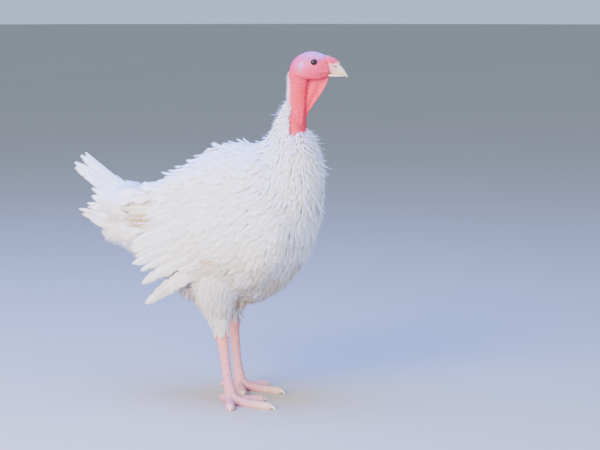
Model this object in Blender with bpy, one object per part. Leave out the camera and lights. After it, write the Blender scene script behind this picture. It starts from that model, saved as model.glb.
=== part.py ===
"""A white domestic turkey hen at life size, standing with her head raised.

She faces +X, her left side is +Y and +Z is up. Lengths are in metres. The body,
neck and head are one tube through named stations, each given by the point on the
back line, the point on the belly line and the half width between them, and that
tube is parted into nodes. Wings and tail carry their flight feathers as vanes
laid on a surface, in tiers, each rooted in a pad of small feathers.
"""

import math

import bpy
import numpy as np

GAP = 0.0003  # left between neighbours that meet face to face
SUNK = 0.004  # how far a piece is sunk in what it grows from before it is carved

# Back point (x, z), belly point (x, z) and half width at each station, tail to bill.
STATIONS = {
    "undertail": ((-0.274, 0.352), (-0.282, 0.313), 0.042),
    "vent": ((-0.250, 0.378), (-0.258, 0.304), 0.068),
    "rump": ((-0.208, 0.408), (-0.225, 0.294), 0.088),
    "loin": ((-0.157, 0.448), (-0.168, 0.258), 0.101),
    "flank": ((-0.102, 0.485), (-0.093, 0.216), 0.110),
    "back": ((-0.047, 0.517), (-0.020, 0.196), 0.115),
    "shoulders": ((0.003, 0.529), (0.054, 0.206), 0.115),
    "hollow": ((0.036, 0.527), (0.114, 0.250), 0.109),
    "crop": ((0.055, 0.532), (0.152, 0.313), 0.095),
    "breast": ((0.067, 0.541), (0.171, 0.372), 0.078),
    "neck_base": ((0.076, 0.552), (0.180, 0.434), 0.061),
    "hackle": ((0.083, 0.565), (0.180, 0.483), 0.0475),
    "ruff": ((0.090, 0.583), (0.173, 0.516), 0.037),
    "ruff_top": ((0.099, 0.601), (0.163, 0.540), 0.028),
    "feather_edge": ((0.1085, 0.618), (0.1515, 0.562), 0.0195),
    "bare_neck": ((0.1105, 0.637), (0.1485, 0.604), 0.0165),
    "throat": ((0.111, 0.656), (0.149, 0.641), 0.0165),
    "nape": ((0.1125, 0.674), (0.1535, 0.6575), 0.0190),
    "hind_head": ((0.121, 0.699), (0.163, 0.660), 0.0215),
    "crown": ((0.140, 0.7135), (0.171, 0.6605), 0.0225),
    "brow": ((0.161, 0.718), (0.180, 0.662), 0.0212),
    "lores": ((0.181, 0.7145), (0.189, 0.664), 0.0168),
    "bill_root": ((0.196, 0.7065), (0.1965, 0.6645), 0.0122),
}
NAMES = list(STATIONS)
VENT_END = (-0.291, 0.328)  # where the tube closes under the tail
BELLY_FULLNESS = 0.16  # how much wider the body is below its middle than above

HEAD_TURN = math.radians(10.0)  # the head looks a little to her left of the body
TURN_LOW, TURN_HIGH = 0.575, 0.660  # heights over which the neck turns
TURN_AXIS_X = 0.130


def station(name):
    """The place of a named station along the tube, counted in stations."""
    return float(NAMES.index(name))


def smooth_curve(knots, places):
    """Catmull-Rom curve through the knots, read at places counted in knots."""
    knots = np.asarray(knots, float)
    first = 2 * knots[0] - knots[1]
    last = 2 * knots[-1] - knots[-2]
    padded = np.vstack([first, knots, last])
    places = np.clip(np.asarray(places, float), 0, len(knots) - 1)
    low = np.minimum(places.astype(int), len(knots) - 2)
    t = (places - low)[:, None]
    a, b, c, d = (padded[low + i] for i in range(4))
    curved = (c - a) * t + (2 * a - 5 * b + 4 * c - d) * t**2 + (3 * b - a - 3 * c + d) * t**3
    return 0.5 * (2 * b + curved)


def body_tube(places, angles):
    """Points of the tube, one ring of angles for each place; angle 0 is the back, pi the belly."""
    table = np.array([[*back, *belly, width] for back, belly, width in STATIONS.values()])
    rows = smooth_curve(table, places)
    back, belly, width = rows[:, None, 0:2], rows[:, None, 2:4], rows[:, None, 4]
    down = (1 - np.cos(angles)) / 2
    plane = back + (belly - back) * down[None, :, None]
    fullness = 1 - BELLY_FULLNESS * np.cos(angles) - BELLY_FULLNESS**2
    side = np.sign(np.sin(angles)) * np.abs(np.sin(angles)) ** 0.88
    across = width * (side * fullness)[None, :]
    return np.stack([plane[..., 0], across, plane[..., 1]], axis=-1)


def turn_head(points):
    """Turns what lies above the neck about a vertical line, growing smoothly with height."""
    points = np.array(points, float)
    share = np.clip((points[..., 2] - TURN_LOW) / (TURN_HIGH - TURN_LOW), 0, 1)
    angle = HEAD_TURN * share * share * (3 - 2 * share)
    x, y = points[..., 0] - TURN_AXIS_X, points[..., 1].copy()
    points[..., 0] = TURN_AXIS_X + x * np.cos(angle) - y * np.sin(angle)
    points[..., 1] = x * np.sin(angle) + y * np.cos(angle)
    return points


def closed_rings(rings, start=None, end=None):
    """Vertices and triangles of a closed body through rings, with a fan or a pole at each end."""
    count, around = rings.shape[:2]
    start = rings[0].mean(axis=0) if start is None else np.asarray(start, float)
    end = rings[-1].mean(axis=0) if end is None else np.asarray(end, float)
    points = np.vstack([rings.reshape(-1, 3), start, end])
    faces = []
    for i in range(count - 1):
        for j in range(around):
            a, b = i * around + j, i * around + (j + 1) % around
            faces += [(a, b, b + around), (a, b + around, a + around)]
    last = (count - 1) * around
    for j in range(around):
        k = (j + 1) % around
        faces += [(k, j, count * around), (last + j, last + k, count * around + 1)]
    return points, faces


def material(name, colour, roughness):
    """A Principled BSDF of one colour, given as red, green and blue shares."""
    made = bpy.data.materials.new(name)
    made.use_nodes = True
    shader = made.node_tree.nodes["Principled BSDF"]
    shader.inputs["Base Color"].default_value = (*colour, 1)
    shader.inputs["Roughness"].default_value = roughness
    shader.inputs["Metallic"].default_value = 0
    return made


# Each finish: what it is, its colour and its roughness. Every node makes its own material from one.
PLUMAGE = ("white plumage", (0.86, 0.86, 0.84), 0.85)
FACE_SKIN = ("bare pink skin", (0.78, 0.36, 0.38), 0.50)
HORN = ("pale horn", (0.82, 0.76, 0.62), 0.40)
LEG_SKIN = ("scaled pink skin", (0.74, 0.56, 0.56), 0.55)
EYE_BROWN = ("dark brown eye", (0.03, 0.02, 0.02), 0.08)


def mesh_object(name, points, faces, finish=None):
    """A mesh object with its place in its mesh, facing outwards."""
    points, faces = np.asarray(points, float), np.asarray(faces, int)
    corners = points[faces]
    if np.linalg.det(corners - points.mean(axis=0)).sum() < 0:
        faces = faces[:, ::-1]
    mesh = bpy.data.meshes.new(name)
    mesh.from_pydata(points.tolist(), [], faces.tolist())
    if finish:
        mesh.materials.append(finish)
    made = bpy.data.objects.new(name, mesh)
    bpy.context.scene.collection.objects.link(made)
    return made


def arrays_of(made):
    """The points and triangles of an object's mesh."""
    mesh = made.data
    mesh.calc_loop_triangles()
    points = np.empty(len(mesh.vertices) * 3)
    mesh.vertices.foreach_get("co", points)
    faces = np.empty(len(mesh.loop_triangles) * 3, int)
    mesh.loop_triangles.foreach_get("vertices", faces)
    return points.reshape(-1, 3), faces.reshape(-1, 3)


def keep_largest(made):
    """Leaves only the closed surface that holds the most, so loose scraps and sealed hollows go."""
    points, faces = arrays_of(made)
    label = np.arange(len(points))
    while True:
        lowest = label[faces].min(axis=1)
        moved = label.copy()
        np.minimum.at(moved, faces.ravel(), np.repeat(lowest, 3))
        moved = moved[moved]
        if (moved == label).all():
            break
        label = moved
    corner = points[faces]
    volume = np.einsum("ij,ij->i", corner[:, 0], np.cross(corner[:, 1], corner[:, 2])) / 6
    shells = np.unique(label[faces[:, 0]])
    held = [volume[label[faces[:, 0]] == shell].sum() for shell in shells]
    best = shells[int(np.argmax(held))]
    faces = faces[label[faces[:, 0]] == best]
    used, index = np.unique(faces, return_inverse=True)
    finish = made.data.materials[0] if made.data.materials else None
    mesh = bpy.data.meshes.new(made.name)
    mesh.from_pydata(points[used].tolist(), [], index.reshape(-1, 3).tolist())
    if finish:
        mesh.materials.append(finish)
    old = made.data
    made.data = mesh
    bpy.data.meshes.remove(old)
    return made


def apply_boolean(made, operation, others):
    """Joins or cuts an object by a collection of closed meshes, then removes them.

    The manifold solver is used because the exact one leaves open edges where many thin vanes
    cross at small angles, and takes minutes over them.
    """
    group = bpy.data.collections.new(made.name + "_operands")
    bpy.context.scene.collection.children.link(group)
    for other in others:
        group.objects.link(other)
    change = made.modifiers.new(operation.lower(), "BOOLEAN")
    change.operation = operation
    change.operand_type = "COLLECTION"
    change.collection = group
    change.solver = "MANIFOLD"
    graph = bpy.context.evaluated_depsgraph_get()
    mesh = bpy.data.meshes.new_from_object(made.evaluated_get(graph))
    made.modifiers.clear()
    old = made.data
    made.data = mesh
    bpy.data.meshes.remove(old)
    for other in others:
        bpy.data.objects.remove(other)
    bpy.data.collections.remove(group)
    return made


def swollen(made, by=GAP):
    """A copy of an object's mesh, grown outwards by a gap, to carve its neighbours with."""
    points, faces = arrays_of(made)
    corner = points[faces]
    normal = np.cross(corner[:, 1] - corner[:, 0], corner[:, 2] - corner[:, 0])
    normal /= np.linalg.norm(normal, axis=1, keepdims=True) + 1e-12
    summed = np.zeros_like(points)
    for k in range(3):
        ahead = corner[:, (k + 1) % 3] - corner[:, k]
        behind = corner[:, (k + 2) % 3] - corner[:, k]
        cosine = np.einsum("ij,ij->i", ahead, behind)
        cosine /= np.linalg.norm(ahead, axis=1) * np.linalg.norm(behind, axis=1) + 1e-12
        np.add.at(summed, faces[:, k], normal * np.arccos(np.clip(cosine, -1, 1))[:, None])
    summed /= np.linalg.norm(summed, axis=1, keepdims=True) + 1e-12
    return mesh_object(made.name + "_cutter", points + summed * by, faces)


def node(name, pieces, finish, clear_of=()):
    """One node: its closed pieces joined, then carved clear of the neighbours it meets."""
    word, colour, roughness = finish
    made = mesh_object(name, *pieces[0], material(f"{word} of {name}", colour, roughness))
    others = [mesh_object(f"{name}_{i}", *piece) for i, piece in enumerate(pieces[1:])]
    if others:
        apply_boolean(made, "UNION", others)
    if clear_of:
        apply_boolean(made, "DIFFERENCE", [swollen(other) for other in clear_of])
    keep_largest(made)
    return made


def ellipsoid(centre, radii, around=10, rings=6, turn=None):
    """A closed ball with three radii, its poles up and down its own z, turned by a 3x3 matrix."""
    latitude = np.linspace(-math.pi / 2, math.pi / 2, rings + 2)[1:-1]
    longitude = np.linspace(0, 2 * math.pi, around, endpoint=False)
    flat = np.cos(latitude)[:, None]
    height = np.repeat(np.sin(latitude)[:, None], around, axis=1)
    unit = np.stack([flat * np.cos(longitude), flat * np.sin(longitude), height], axis=-1)
    turn = np.eye(3) if turn is None else np.asarray(turn)

    def placed(p):
        return (np.asarray(p, float) * radii) @ turn.T + np.asarray(centre, float)

    return closed_rings(placed(unit), placed((0, 0, -1)), placed((0, 0, 1)))


def limb(path, radii, around=10, side_share=1.0, samples=8, floor=None):
    """A closed tube of oval section along a smooth path; radii run with the path's knots."""
    places = np.linspace(0, len(path) - 1, samples)
    centre = smooth_curve(path, places)
    radius = smooth_curve(np.asarray(radii, float)[:, None], places)
    along = np.gradient(centre, axis=0)
    along /= np.linalg.norm(along, axis=1, keepdims=True)
    reference = np.array([0.0, 1.0, 0.0]) if abs(along[:, 1]).max() < 0.8 else np.array([0.0, 0.0, 1.0])
    front = np.cross(reference, along)
    front /= np.linalg.norm(front, axis=1, keepdims=True)
    side = np.cross(along, front)
    angle = np.linspace(0, 2 * math.pi, around, endpoint=False)
    sine, cosine = np.sin(angle)[:, None], np.cos(angle)[:, None]
    spoke = front[:, None] * cosine + side[:, None] * sine * side_share
    rings = centre[:, None] + spoke * radius[:, None]
    if floor is not None:
        rings[..., 2] = np.maximum(rings[..., 2], floor)
    return closed_rings(rings)


# Body: the tube in three lengths, with plane ends a gap apart.

AROUND_BODY, AROUND_NECK = 26, 18


def tube_length(start, stop, rings, around, start_shift=0.0, pole=None):
    """A closed length of the tube; its first ring is moved along its own normal by start_shift."""
    angles = np.linspace(0, 2 * math.pi, around, endpoint=False)
    points = body_tube(np.linspace(start, stop, rings), angles)
    if start_shift:
        edge = points[0]
        normal = np.cross(edge[around // 4] - edge[0], edge[around // 2] - edge[0])
        normal /= np.linalg.norm(normal)
        onward = points[1].mean(axis=0) - edge.mean(axis=0)
        points[0] = edge + normal * np.sign(normal @ onward) * start_shift
    return closed_rings(points, start=pole)


def make_body():
    """Torso, from the fluff under the tail to the foot of the neck."""
    pole = (VENT_END[0], 0.0, VENT_END[1])
    piece = tube_length(0, station("neck_base"), 21, AROUND_BODY, pole=pole)
    return node("torso", [piece], PLUMAGE)


NECK_AXIS_X = 0.1291  # the middle of the bare neck
FOLD_PITCH, FOLD_DEPTH, FOLD_SLANT = 0.0105, 0.035, 0.55
FOLD_WAVER = 1.3  # how far a fold wanders up and down on its way round, in radians of its wave
FOLDS_FROM, FOLDS_FULL = 0.600, 0.612  # heights between which the folds grow
FOLDS_FADE, FOLDS_TO = 0.645, 0.655  # heights between which they die out
EDGE_HEIGHT, STATION_HEIGHT = 0.600, 0.020  # of the feathers' edge, and of one station there
CARUNCLES = [
    # height, turn from the front, radius
    (0.606, 0.80, 0.0044),
    (0.615, 1.50, 0.0038),
]


def make_neck():
    """The feathered foot of the neck and the bare neck above it, as two nodes."""
    ruff = tube_length(station("neck_base"), station("feather_edge"), 9, AROUND_BODY, GAP)
    hackles = node("neck_feathered", [ruff], PLUMAGE)
    bare = tube_length(station("feather_edge"), station("nape"), 11, AROUND_NECK, GAP)
    folded = [fold_skin(bare[0]), bare[1]]
    bulbs = [mirrored(caruncle(*place), side) for place in CARUNCLES for side in (1, -1)]
    return hackles, node("neck_bare", [folded, *bulbs], FACE_SKIN, [hackles])


def fold_skin(points):
    """Raises and lowers the bare neck's skin in slanting folds that die out at both ends."""
    axis = np.array([NECK_AXIS_X, 0.0])
    out = points[:, :2] - axis
    height = points[:, 2] + FOLD_SLANT * (points[:, 0] - TURN_AXIS_X)
    share = np.interp(points[:, 2], [FOLDS_FROM, FOLDS_FULL, FOLDS_FADE, FOLDS_TO], [0, 1, 1, 0])
    waver = FOLD_WAVER * np.sin(np.arctan2(out[:, 1], out[:, 0]) * 3)
    wave = np.sin(height / FOLD_PITCH * 2 * math.pi + waver)
    points = points.copy()
    points[:, :2] = axis + out * (1 + FOLD_DEPTH * wave * share)[:, None]
    return points


def caruncle(height, turn, size):
    """One soft bulb on the bare neck, at a height and a turn from straight ahead."""
    place = station("feather_edge") + (height - EDGE_HEIGHT) / STATION_HEIGHT
    ring = body_tube(np.array([place]), np.array([math.pi - turn]))[0, 0]
    return ellipsoid(ring, (size, size * 0.9, size * 1.15), 6, 3)


# Head: the front of the tube, with sockets, lids, ear cups and the mouth line cut or raised in it.

EYE_CENTRE = (0.1650, 0.0163, 0.6970)
EYE_RADIUS = 0.0076
LID_CENTRE, LID_AXIS = (0.1650, 0.0208, 0.6970), (0.18, 1, 0.10)
LID_RADIUS, LID_THICKNESS = 0.0071, 0.0018
EAR_CENTRE, EAR_AXIS = (0.1370, 0.0205, 0.6870), (-0.25, 1, 0.05)
EAR_RIM, EAR_RIM_THICKNESS = 0.0040, 0.0012
EAR_HOLE = (0.0032, 0.0045, 0.0032)
MOUTH_LINE = [(0.1780, 0.6725), (0.1870, 0.6728), (0.1990, 0.6733)]  # (x, z), corner to bill
MOUTH_INNER = [0.0160, 0.0135, 0.0090]  # how near the middle the cut comes at each of them
MOUTH_OUTER, MOUTH_HALF_HEIGHT = 0.0300, 0.0010
NOSTRIL, NOSTRIL_RADII = (0.2080, 0.0082, 0.6880), (0.0042, 0.0032, 0.0013)
NOSTRIL_SLANT = math.radians(22)


def ring_band(centre, axis, radius, thickness, around=12, section=4):
    """A closed ring, as an eyelid or the rim of an ear, about an axis."""
    axis = np.asarray(axis, float) / np.linalg.norm(axis)
    first = np.cross(axis, (0, 0, 1.0))
    first /= np.linalg.norm(first)
    second = np.cross(axis, first)
    turn = np.linspace(0, 2 * math.pi, around, endpoint=False)
    spoke = first * np.cos(turn)[:, None] + second * np.sin(turn)[:, None]
    angle = np.linspace(0, 2 * math.pi, section, endpoint=False)
    rings = np.asarray(centre) + spoke[:, None] * (radius + thickness * np.cos(angle))[:, None]
    rings = rings + axis * (thickness * np.sin(angle))[:, None]
    faces = []
    for i in range(around):
        for j in range(section):
            a, b = i * section + j, i * section + (j + 1) % section
            c, d = (a + section) % (around * section), (b + section) % (around * section)
            faces += [(a, b, d), (a, d, c)]
    points = rings.reshape(-1, 3)
    corner = points[np.asarray(faces)]
    if np.linalg.det(corner - np.asarray(centre)).sum() < 0:
        faces = [face[::-1] for face in faces]
    return points, faces


def mirrored(piece, side):
    """A piece made for her left side, moved to the side given by +1 or -1."""
    points, faces = piece
    if side > 0:
        return points, faces
    return np.asarray(points) * (1, -1, 1), [face[::-1] for face in faces]


def make_head():
    """The head without its bill, with eyes of their own in its sockets."""
    skull = tube_length(station("nape"), station("bill_root"), 13, AROUND_NECK, GAP)
    lid = ring_band(LID_CENTRE, LID_AXIS, LID_RADIUS, LID_THICKNESS)
    ear = ring_band(EAR_CENTRE, EAR_AXIS, EAR_RIM, EAR_RIM_THICKNESS, around=9)
    raised = [mirrored(piece, side) for piece in (lid, ear) for side in (1, -1)]
    head = node("head", [skull, *raised], FACE_SKIN)
    socket = ellipsoid(EYE_CENTRE, (EYE_RADIUS + GAP,) * 3, 12, 6)
    ear_hole = ellipsoid(EAR_CENTRE, EAR_HOLE, 8, 4)
    mouth = mouth_cut()
    cuts = [mirrored(piece, side) for piece in (socket, ear_hole, mouth) for side in (1, -1)]
    apply_boolean(head, "DIFFERENCE", [mesh_object(f"cut_{i}", *cut) for i, cut in enumerate(cuts)])
    keep_largest(head)
    eyes = []
    for side, word in ((1, "left"), (-1, "right")):
        ball = mirrored(ellipsoid(EYE_CENTRE, (EYE_RADIUS,) * 3, 12, 6), side)
        eyes.append(node(f"eye_{word}", [ball], EYE_BROWN))
    return head, eyes


def mouth_cut():
    """A thin wedge from the corner of the mouth to the root of the bill, which cuts the mouth line."""
    rings = []
    for (x, z), inner in zip(MOUTH_LINE, MOUTH_INNER):
        upper = (x, MOUTH_OUTER, z + MOUTH_HALF_HEIGHT)
        lower = (x, MOUTH_OUTER, z - MOUTH_HALF_HEIGHT)
        rings.append([(x, inner, z), upper, lower])
    return closed_rings(np.array(rings))


# Bill: two horny mandibles that meet the head's plane front. Each row has the point on the upper
# edge (x, z), the point on the lower edge and the half width.

UPPER_BILL = [
    ((0.1969, 0.7018), (0.1971, 0.6737), 0.0107),
    ((0.2060, 0.6988), (0.2060, 0.6727), 0.0098),
    ((0.2150, 0.6928), (0.2150, 0.6722), 0.0084),
    ((0.2232, 0.6840), (0.2235, 0.6712), 0.0062),
    ((0.2290, 0.6748), (0.2284, 0.6688), 0.0034),
    ((0.2321, 0.6666), (0.2311, 0.6656), 0.0009),
]
LOWER_BILL = [
    ((0.1971, 0.6731), (0.1972, 0.6674), 0.0100),
    ((0.2065, 0.6729), (0.2065, 0.6672), 0.0088),
    ((0.2150, 0.6724), (0.2150, 0.6673), 0.0070),
    ((0.2235, 0.6712), (0.2240, 0.6680), 0.0036),
    ((0.2268, 0.6700), (0.2266, 0.6689), 0.0012),
]


def bill(rows, rings, around=12):
    """A closed mandible through rows of culmen point, edge point and half width."""
    table = np.array([[*top, *low, width] for top, low, width in rows])
    rows = smooth_curve(table, np.linspace(0, len(table) - 1, rings))
    angle = np.linspace(0, 2 * math.pi, around, endpoint=False)
    down = ((1 - np.cos(angle)) / 2)[None, :, None]
    plane = rows[:, None, 0:2] + (rows[:, None, 2:4] - rows[:, None, 0:2]) * down
    side = np.sign(np.sin(angle)) * np.abs(np.sin(angle)) ** 0.8
    points = np.stack([plane[..., 0], rows[:, None, 4] * side, plane[..., 1]], axis=-1)
    return closed_rings(points)


def make_bill():
    """Upper and lower mandible, the upper with a nostril cut in each side."""
    upper = node("bill_upper", [bill(UPPER_BILL, 9)], HORN)
    slot = ellipsoid(NOSTRIL, NOSTRIL_RADII, 8, 3, turn=rotation_y(NOSTRIL_SLANT))
    cuts = [mesh_object(f"nostril_{side}", *mirrored(slot, side)) for side in (1, -1)]
    apply_boolean(upper, "DIFFERENCE", cuts)
    keep_largest(upper)
    lower = node("bill_lower", [bill(LOWER_BILL, 6)], HORN, [upper])
    return upper, lower


# Snood and dewlap: soft folds of the forehead and the throat.

SNOOD = [
    # place (x, y, z) and radius, root to tip
    ((0.184, 0, 0.7090), 0.0050),
    ((0.193, 0, 0.7082), 0.0048),
    ((0.202, 0, 0.7050), 0.0036),
    ((0.210, 0, 0.6998), 0.0027),
    ((0.215, 0, 0.6950), 0.0014),
]
DEWLAP = [
    # free edge (x, y, z) and root line, chin to neck
    ((0.1960, 0, 0.6700), (0.1560, 0, 0.6720)),
    ((0.1840, 0, 0.6420), (0.1450, 0, 0.6480)),
    ((0.1640, 0, 0.6125), (0.1420, 0, 0.6200)),
    ((0.1530, 0, 0.5960), (0.1430, 0, 0.6000)),
    ((0.1490, 0, 0.5840), (0.1455, 0, 0.5860)),
]
DEWLAP_THICK_ROOT, DEWLAP_THICK_EDGE = 0.0085, 0.0034
DEWLAP_THIN_BELOW = 0.55  # its thickness at the neck, as a share of that at the chin
DEWLAP_FOLD, DEWLAP_FOLDS, DEWLAP_FOLD_TURN = 0.0016, 3.0, 0.25


def make_snood(neighbours):
    """The small fleshy finger that lies forward over the bill."""
    path, radii = zip(*SNOOD)
    return node("snood", [limb(path, radii, 8, 1.1, 7)], FACE_SKIN, neighbours)


def make_dewlap(neighbours):
    """The fold of bare skin from chin to neck: a slab thinner at its free edge, with long pleats."""
    downs = np.linspace(0, len(DEWLAP) - 1, 11)
    edge, root = (smooth_curve(line, downs) for line in zip(*DEWLAP))
    across = np.linspace(0, 1, 7)
    sheet = root[:, None] + (edge - root)[:, None] * across[None, :, None]
    pleat = DEWLAP_FOLD * np.sin(across * math.pi * DEWLAP_FOLDS + downs[:, None] * DEWLAP_FOLD_TURN)
    pleat = pleat * np.sin(across * math.pi)[None, :] ** 0.5
    thick = DEWLAP_THICK_ROOT + (DEWLAP_THICK_EDGE - DEWLAP_THICK_ROOT) * across ** 0.7
    thick = thick[None, :] * np.linspace(1, DEWLAP_THIN_BELOW, len(downs))[:, None]
    left, right = sheet.copy(), sheet.copy()
    left[..., 1] = pleat + thick / 2
    right[..., 1] = pleat - thick / 2
    rings = np.concatenate([left, right[:, ::-1]], axis=1)
    return node("dewlap", [closed_rings(rings)], FACE_SKIN, neighbours)


# Legs: feathered drumstick, scaled shank, and a foot of four toes on small flats.

LEGS = {
    # side, hock x, foot x, foot y, heading of the middle toe in degrees from +X towards +Y,
    # and how far the hind toe is turned from it (outwards positive)
    "right": (-1, -0.012, 0.008, -0.076, -17.0, 216.0),
    "left": (1, -0.033, -0.019, 0.072, -14.0, 169.0),
}
HOCK_Y, HOCK_Z, ANKLE_Z = 0.070, 0.150, 0.034
ANKLE_BACK = 0.002  # how far the ankle lies behind the middle of the foot
DRUM = [
    # from the hock: ahead, inwards and up, and the radius there
    (-0.006, 0.006, 0.150, 0.0560),
    (-0.008, 0.004, 0.110, 0.0520),
    (-0.010, 0.0, 0.068, 0.0370),
    (-0.006, 0.0, 0.036, 0.0262),
    (-0.002, 0.0, 0.014, 0.0190),
    (0.0, 0.0, 0.0, 0.0150),
]
DRUM_SIDE_SHARE, SHANK_SIDE_SHARE, ANKLE_SIDE_SHARE = 0.80, 0.78, 0.85
SHANK_PLACES = (0.2, 0.45, 0.75)  # knots between its ends, as shares of the way down
SHANK_OVER, SHANK_UNDER = 0.003, 0.002  # how far its ends go into the drumstick and the foot
ANKLE_RADII = [0.0106, 0.0118, 0.0122]
SHANK_RADII = [0.0128, 0.0108, 0.0096, 0.0094, 0.0106]
TOES = {
    # spread from the middle toe in degrees (outer positive), length to the claw, claw length
    "inner": (-52.0, 0.066, 0.015),
    "middle": (0.0, 0.094, 0.018),
    "outer": (54.0, 0.060, 0.014),
    "hind": (None, 0.044, 0.013),
}
TOE = [
    # share of the way out, height of the middle and radius
    (0.0, 0.0190, 0.0088),
    (0.22, 0.0081, 0.0078),
    (0.48, 0.0056, 0.0073),
    (0.75, 0.0056, 0.0066),
    (1.0, 0.0052, 0.0050),
]
HIND_SHARE = 0.82  # of the other toes' radii
CLAW_SUNK, CLAW_BEND, CLAW_LIFT, CLAW_TIP = 0.002, 0.55, 0.0004, 0.0009


def toe_line(origin, heading, length, claw, hind):
    """Knots of one toe and its claw on the ground, and the radius at each knot."""
    ahead = np.array([math.cos(heading), math.sin(heading), 0.0])
    radii = [radius * (HIND_SHARE if hind else 1.0) for _, _, radius in TOE]
    knots = [origin + ahead * length * share + (0, 0, z) for share, z, _ in TOE]
    end_z = TOE[-1][1]
    claw_knots = [
        knots[-1] - ahead * CLAW_SUNK,
        knots[-1] + ahead * claw * CLAW_BEND + (0, 0, CLAW_LIFT),
        knots[-1] + ahead * claw + (0, 0, CLAW_TIP + GAP - end_z),
    ]
    return knots, radii, claw_knots, [radii[-1] * 0.80, radii[-1] * 0.55, CLAW_TIP]


SCUTES = 9
SHANK_SIDES = 8
SCUTE_RISE = 0.0007
SCUTE_STEP = 0.0022  # how far a scute's edge is drawn down over the next


def raise_scutes(bone, hock, ankle):
    """Steps the front of a shank into broad scutes; the rings lie by turns at a scute's two edges."""
    points, faces = bone
    around = SHANK_SIDES
    rings = np.arange(2 * SCUTES + 1)
    axis = (ankle - hock) / np.linalg.norm(ankle - hock)
    points = points.copy()
    for i in rings[2:-2]:
        ring = points[i * around:(i + 1) * around]
        centre = ring.mean(axis=0)
        out = (ring - centre) / np.linalg.norm(ring - centre, axis=1, keepdims=True)
        front = np.clip(out[:, 0], 0, 1)[:, None]
        ring += out * front * SCUTE_RISE * (1 if i % 2 else -1)
        ring += axis * front * SCUTE_STEP * (1 if i % 2 else 0)
    return points, faces


def make_leg(word, torso):
    """Drumstick, shank, foot and claws of one leg."""
    side, hock_x, foot_x, foot_y, heading, hind_spread = LEGS[word]
    hock = np.array([hock_x, side * HOCK_Y, HOCK_Z])
    ankle = np.array([foot_x - ANKLE_BACK, foot_y, ANKLE_Z])
    drum_path = [hock + (ahead, -side * inwards, up) for ahead, inwards, up, _ in DRUM]
    drum = limb(drum_path, [radius for *_, radius in DRUM], 16, DRUM_SIDE_SHARE, 12)
    thigh = node(f"thigh_{word}", [drum], PLUMAGE, [torso])
    downward = (ankle - hock) / np.linalg.norm(ankle - hock)
    shank_line = [hock - downward * SHANK_OVER]
    shank_line += [hock + (ankle - hock) * share for share in SHANK_PLACES]
    shank_line += [ankle + downward * SHANK_UNDER]
    origin = np.array([foot_x, foot_y, 0.0])
    ankle_line = [ankle + downward * GAP, ankle + downward * 0.010, origin + (0.004, 0, 0.012)]
    foot_pieces = [limb(ankle_line, ANKLE_RADII, 10, ANKLE_SIDE_SHARE, 5, floor=0.0)]
    claws = {}
    for toe, (spread, length, claw) in TOES.items():
        turned = hind_spread if toe == "hind" else spread
        angle = math.radians(heading + side * turned)
        knots, radii, claw_knots, claw_radii = toe_line(origin, angle, length, claw, toe == "hind")
        foot_pieces.append(limb(knots, radii, 8, 1.0, 7, floor=0.0))
        claws[toe] = limb(claw_knots, claw_radii, 6, 0.9, 5, floor=0.0)
    foot = node(f"foot_{word}", foot_pieces, LEG_SKIN)
    bone = limb(shank_line, SHANK_RADII, SHANK_SIDES, SHANK_SIDE_SHARE, 2 * SCUTES + 1)
    shank = node(f"shank_{word}", [raise_scutes(bone, hock, ankle)], LEG_SKIN, [thigh, foot])
    horns = [node(f"claw_{word}_{toe}", [claw], HORN, [foot]) for toe, claw in claws.items()]
    return [thigh, shank, foot, *horns]


# Vanes: flat feathers laid on a surface, each a thin closed body that tapers at both ends.

BLADE = ((0.0, 0.20), (0.24, 0.58), (0.58, 1.0), (0.87, 0.84), (1.0, 0.16))
COVERT = ((0.0, 0.25), (0.30, 0.80), (0.68, 1.0), (0.90, 0.76), (1.0, 0.22))
VANE_THICKNESS = (0.0011, 0.0007)  # at the root and near the tip
SHINGLE_STEP = 0.0021  # the rise of one vane over the next
RACHIS_RISE = 0.0007  # how far the shaft stands up from the vane
ROOT_SUNK = 0.0035  # how far a root end lies under the surface that carries the vanes
ROOT_SHARE = 0.16  # the share of a vane's length over which it comes up out of its root
SHELL_SIDES = (-1.0, 0.0, 1.0)


def rise_from_root(levels, share):
    """Height of a vane's midline: sunk at the root, then rising evenly to its tip."""
    sunk = max(0.0, 1 - share / ROOT_SHARE) ** 2
    return (levels[0] + (levels[1] - levels[0]) * share) * (1 - sunk) - ROOT_SUNK * sunk


def vane(surface, middle, across, half_width, level, slope, shape=BLADE):
    """A closed vane whose stations lie on a surface of two parameters.

    middle(t) gives the parameters of the midline, across(t) the parameter step for one
    metre sideways, level(t) the height over the surface and slope(t) the sideways tilt.
    The top and the underside are split into the same triangles.
    """
    top, low = [], []
    for share, width in shape:
        thick = VANE_THICKNESS[0] + (VANE_THICKNESS[1] - VANE_THICKNESS[0]) * share
        for side in SHELL_SIDES:
            reach = side * width * half_width
            point, normal = surface(middle(share) + across(share) * reach)
            height = level(share) + slope(share) * reach
            ridge = RACHIS_RISE if side == 0 else 0.0
            top.append(point + normal * (height + thick / 2 + ridge))
            low.append(point + normal * (height - thick / 2))
    count, wide = len(shape), len(SHELL_SIDES)
    points = np.array(top + low)
    under = count * wide
    faces = []
    for i in range(count - 1):
        for j in range(wide - 1):
            a, b = i * wide + j, i * wide + j + 1
            c, d = a + wide, b + wide
            faces += [(a, b, d), (a, d, c)]
            faces += [(under + a, under + d, under + b), (under + a, under + c, under + d)]
        for j, flip in ((0, False), (wide - 1, True)):
            a, c = i * wide + j, (i + 1) * wide + j
            quad = [(a, c, under + c), (a, under + c, under + a)]
            faces += [face[::-1] for face in quad] if flip else quad
    for i, flip in ((0, True), (count - 1, False)):
        for j in range(wide - 1):
            a, b = i * wide + j, i * wide + j + 1
            quad = [(a, b, under + b), (a, under + b, under + a)]
            faces += [face[::-1] for face in quad] if flip else quad
    return points, faces


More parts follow.
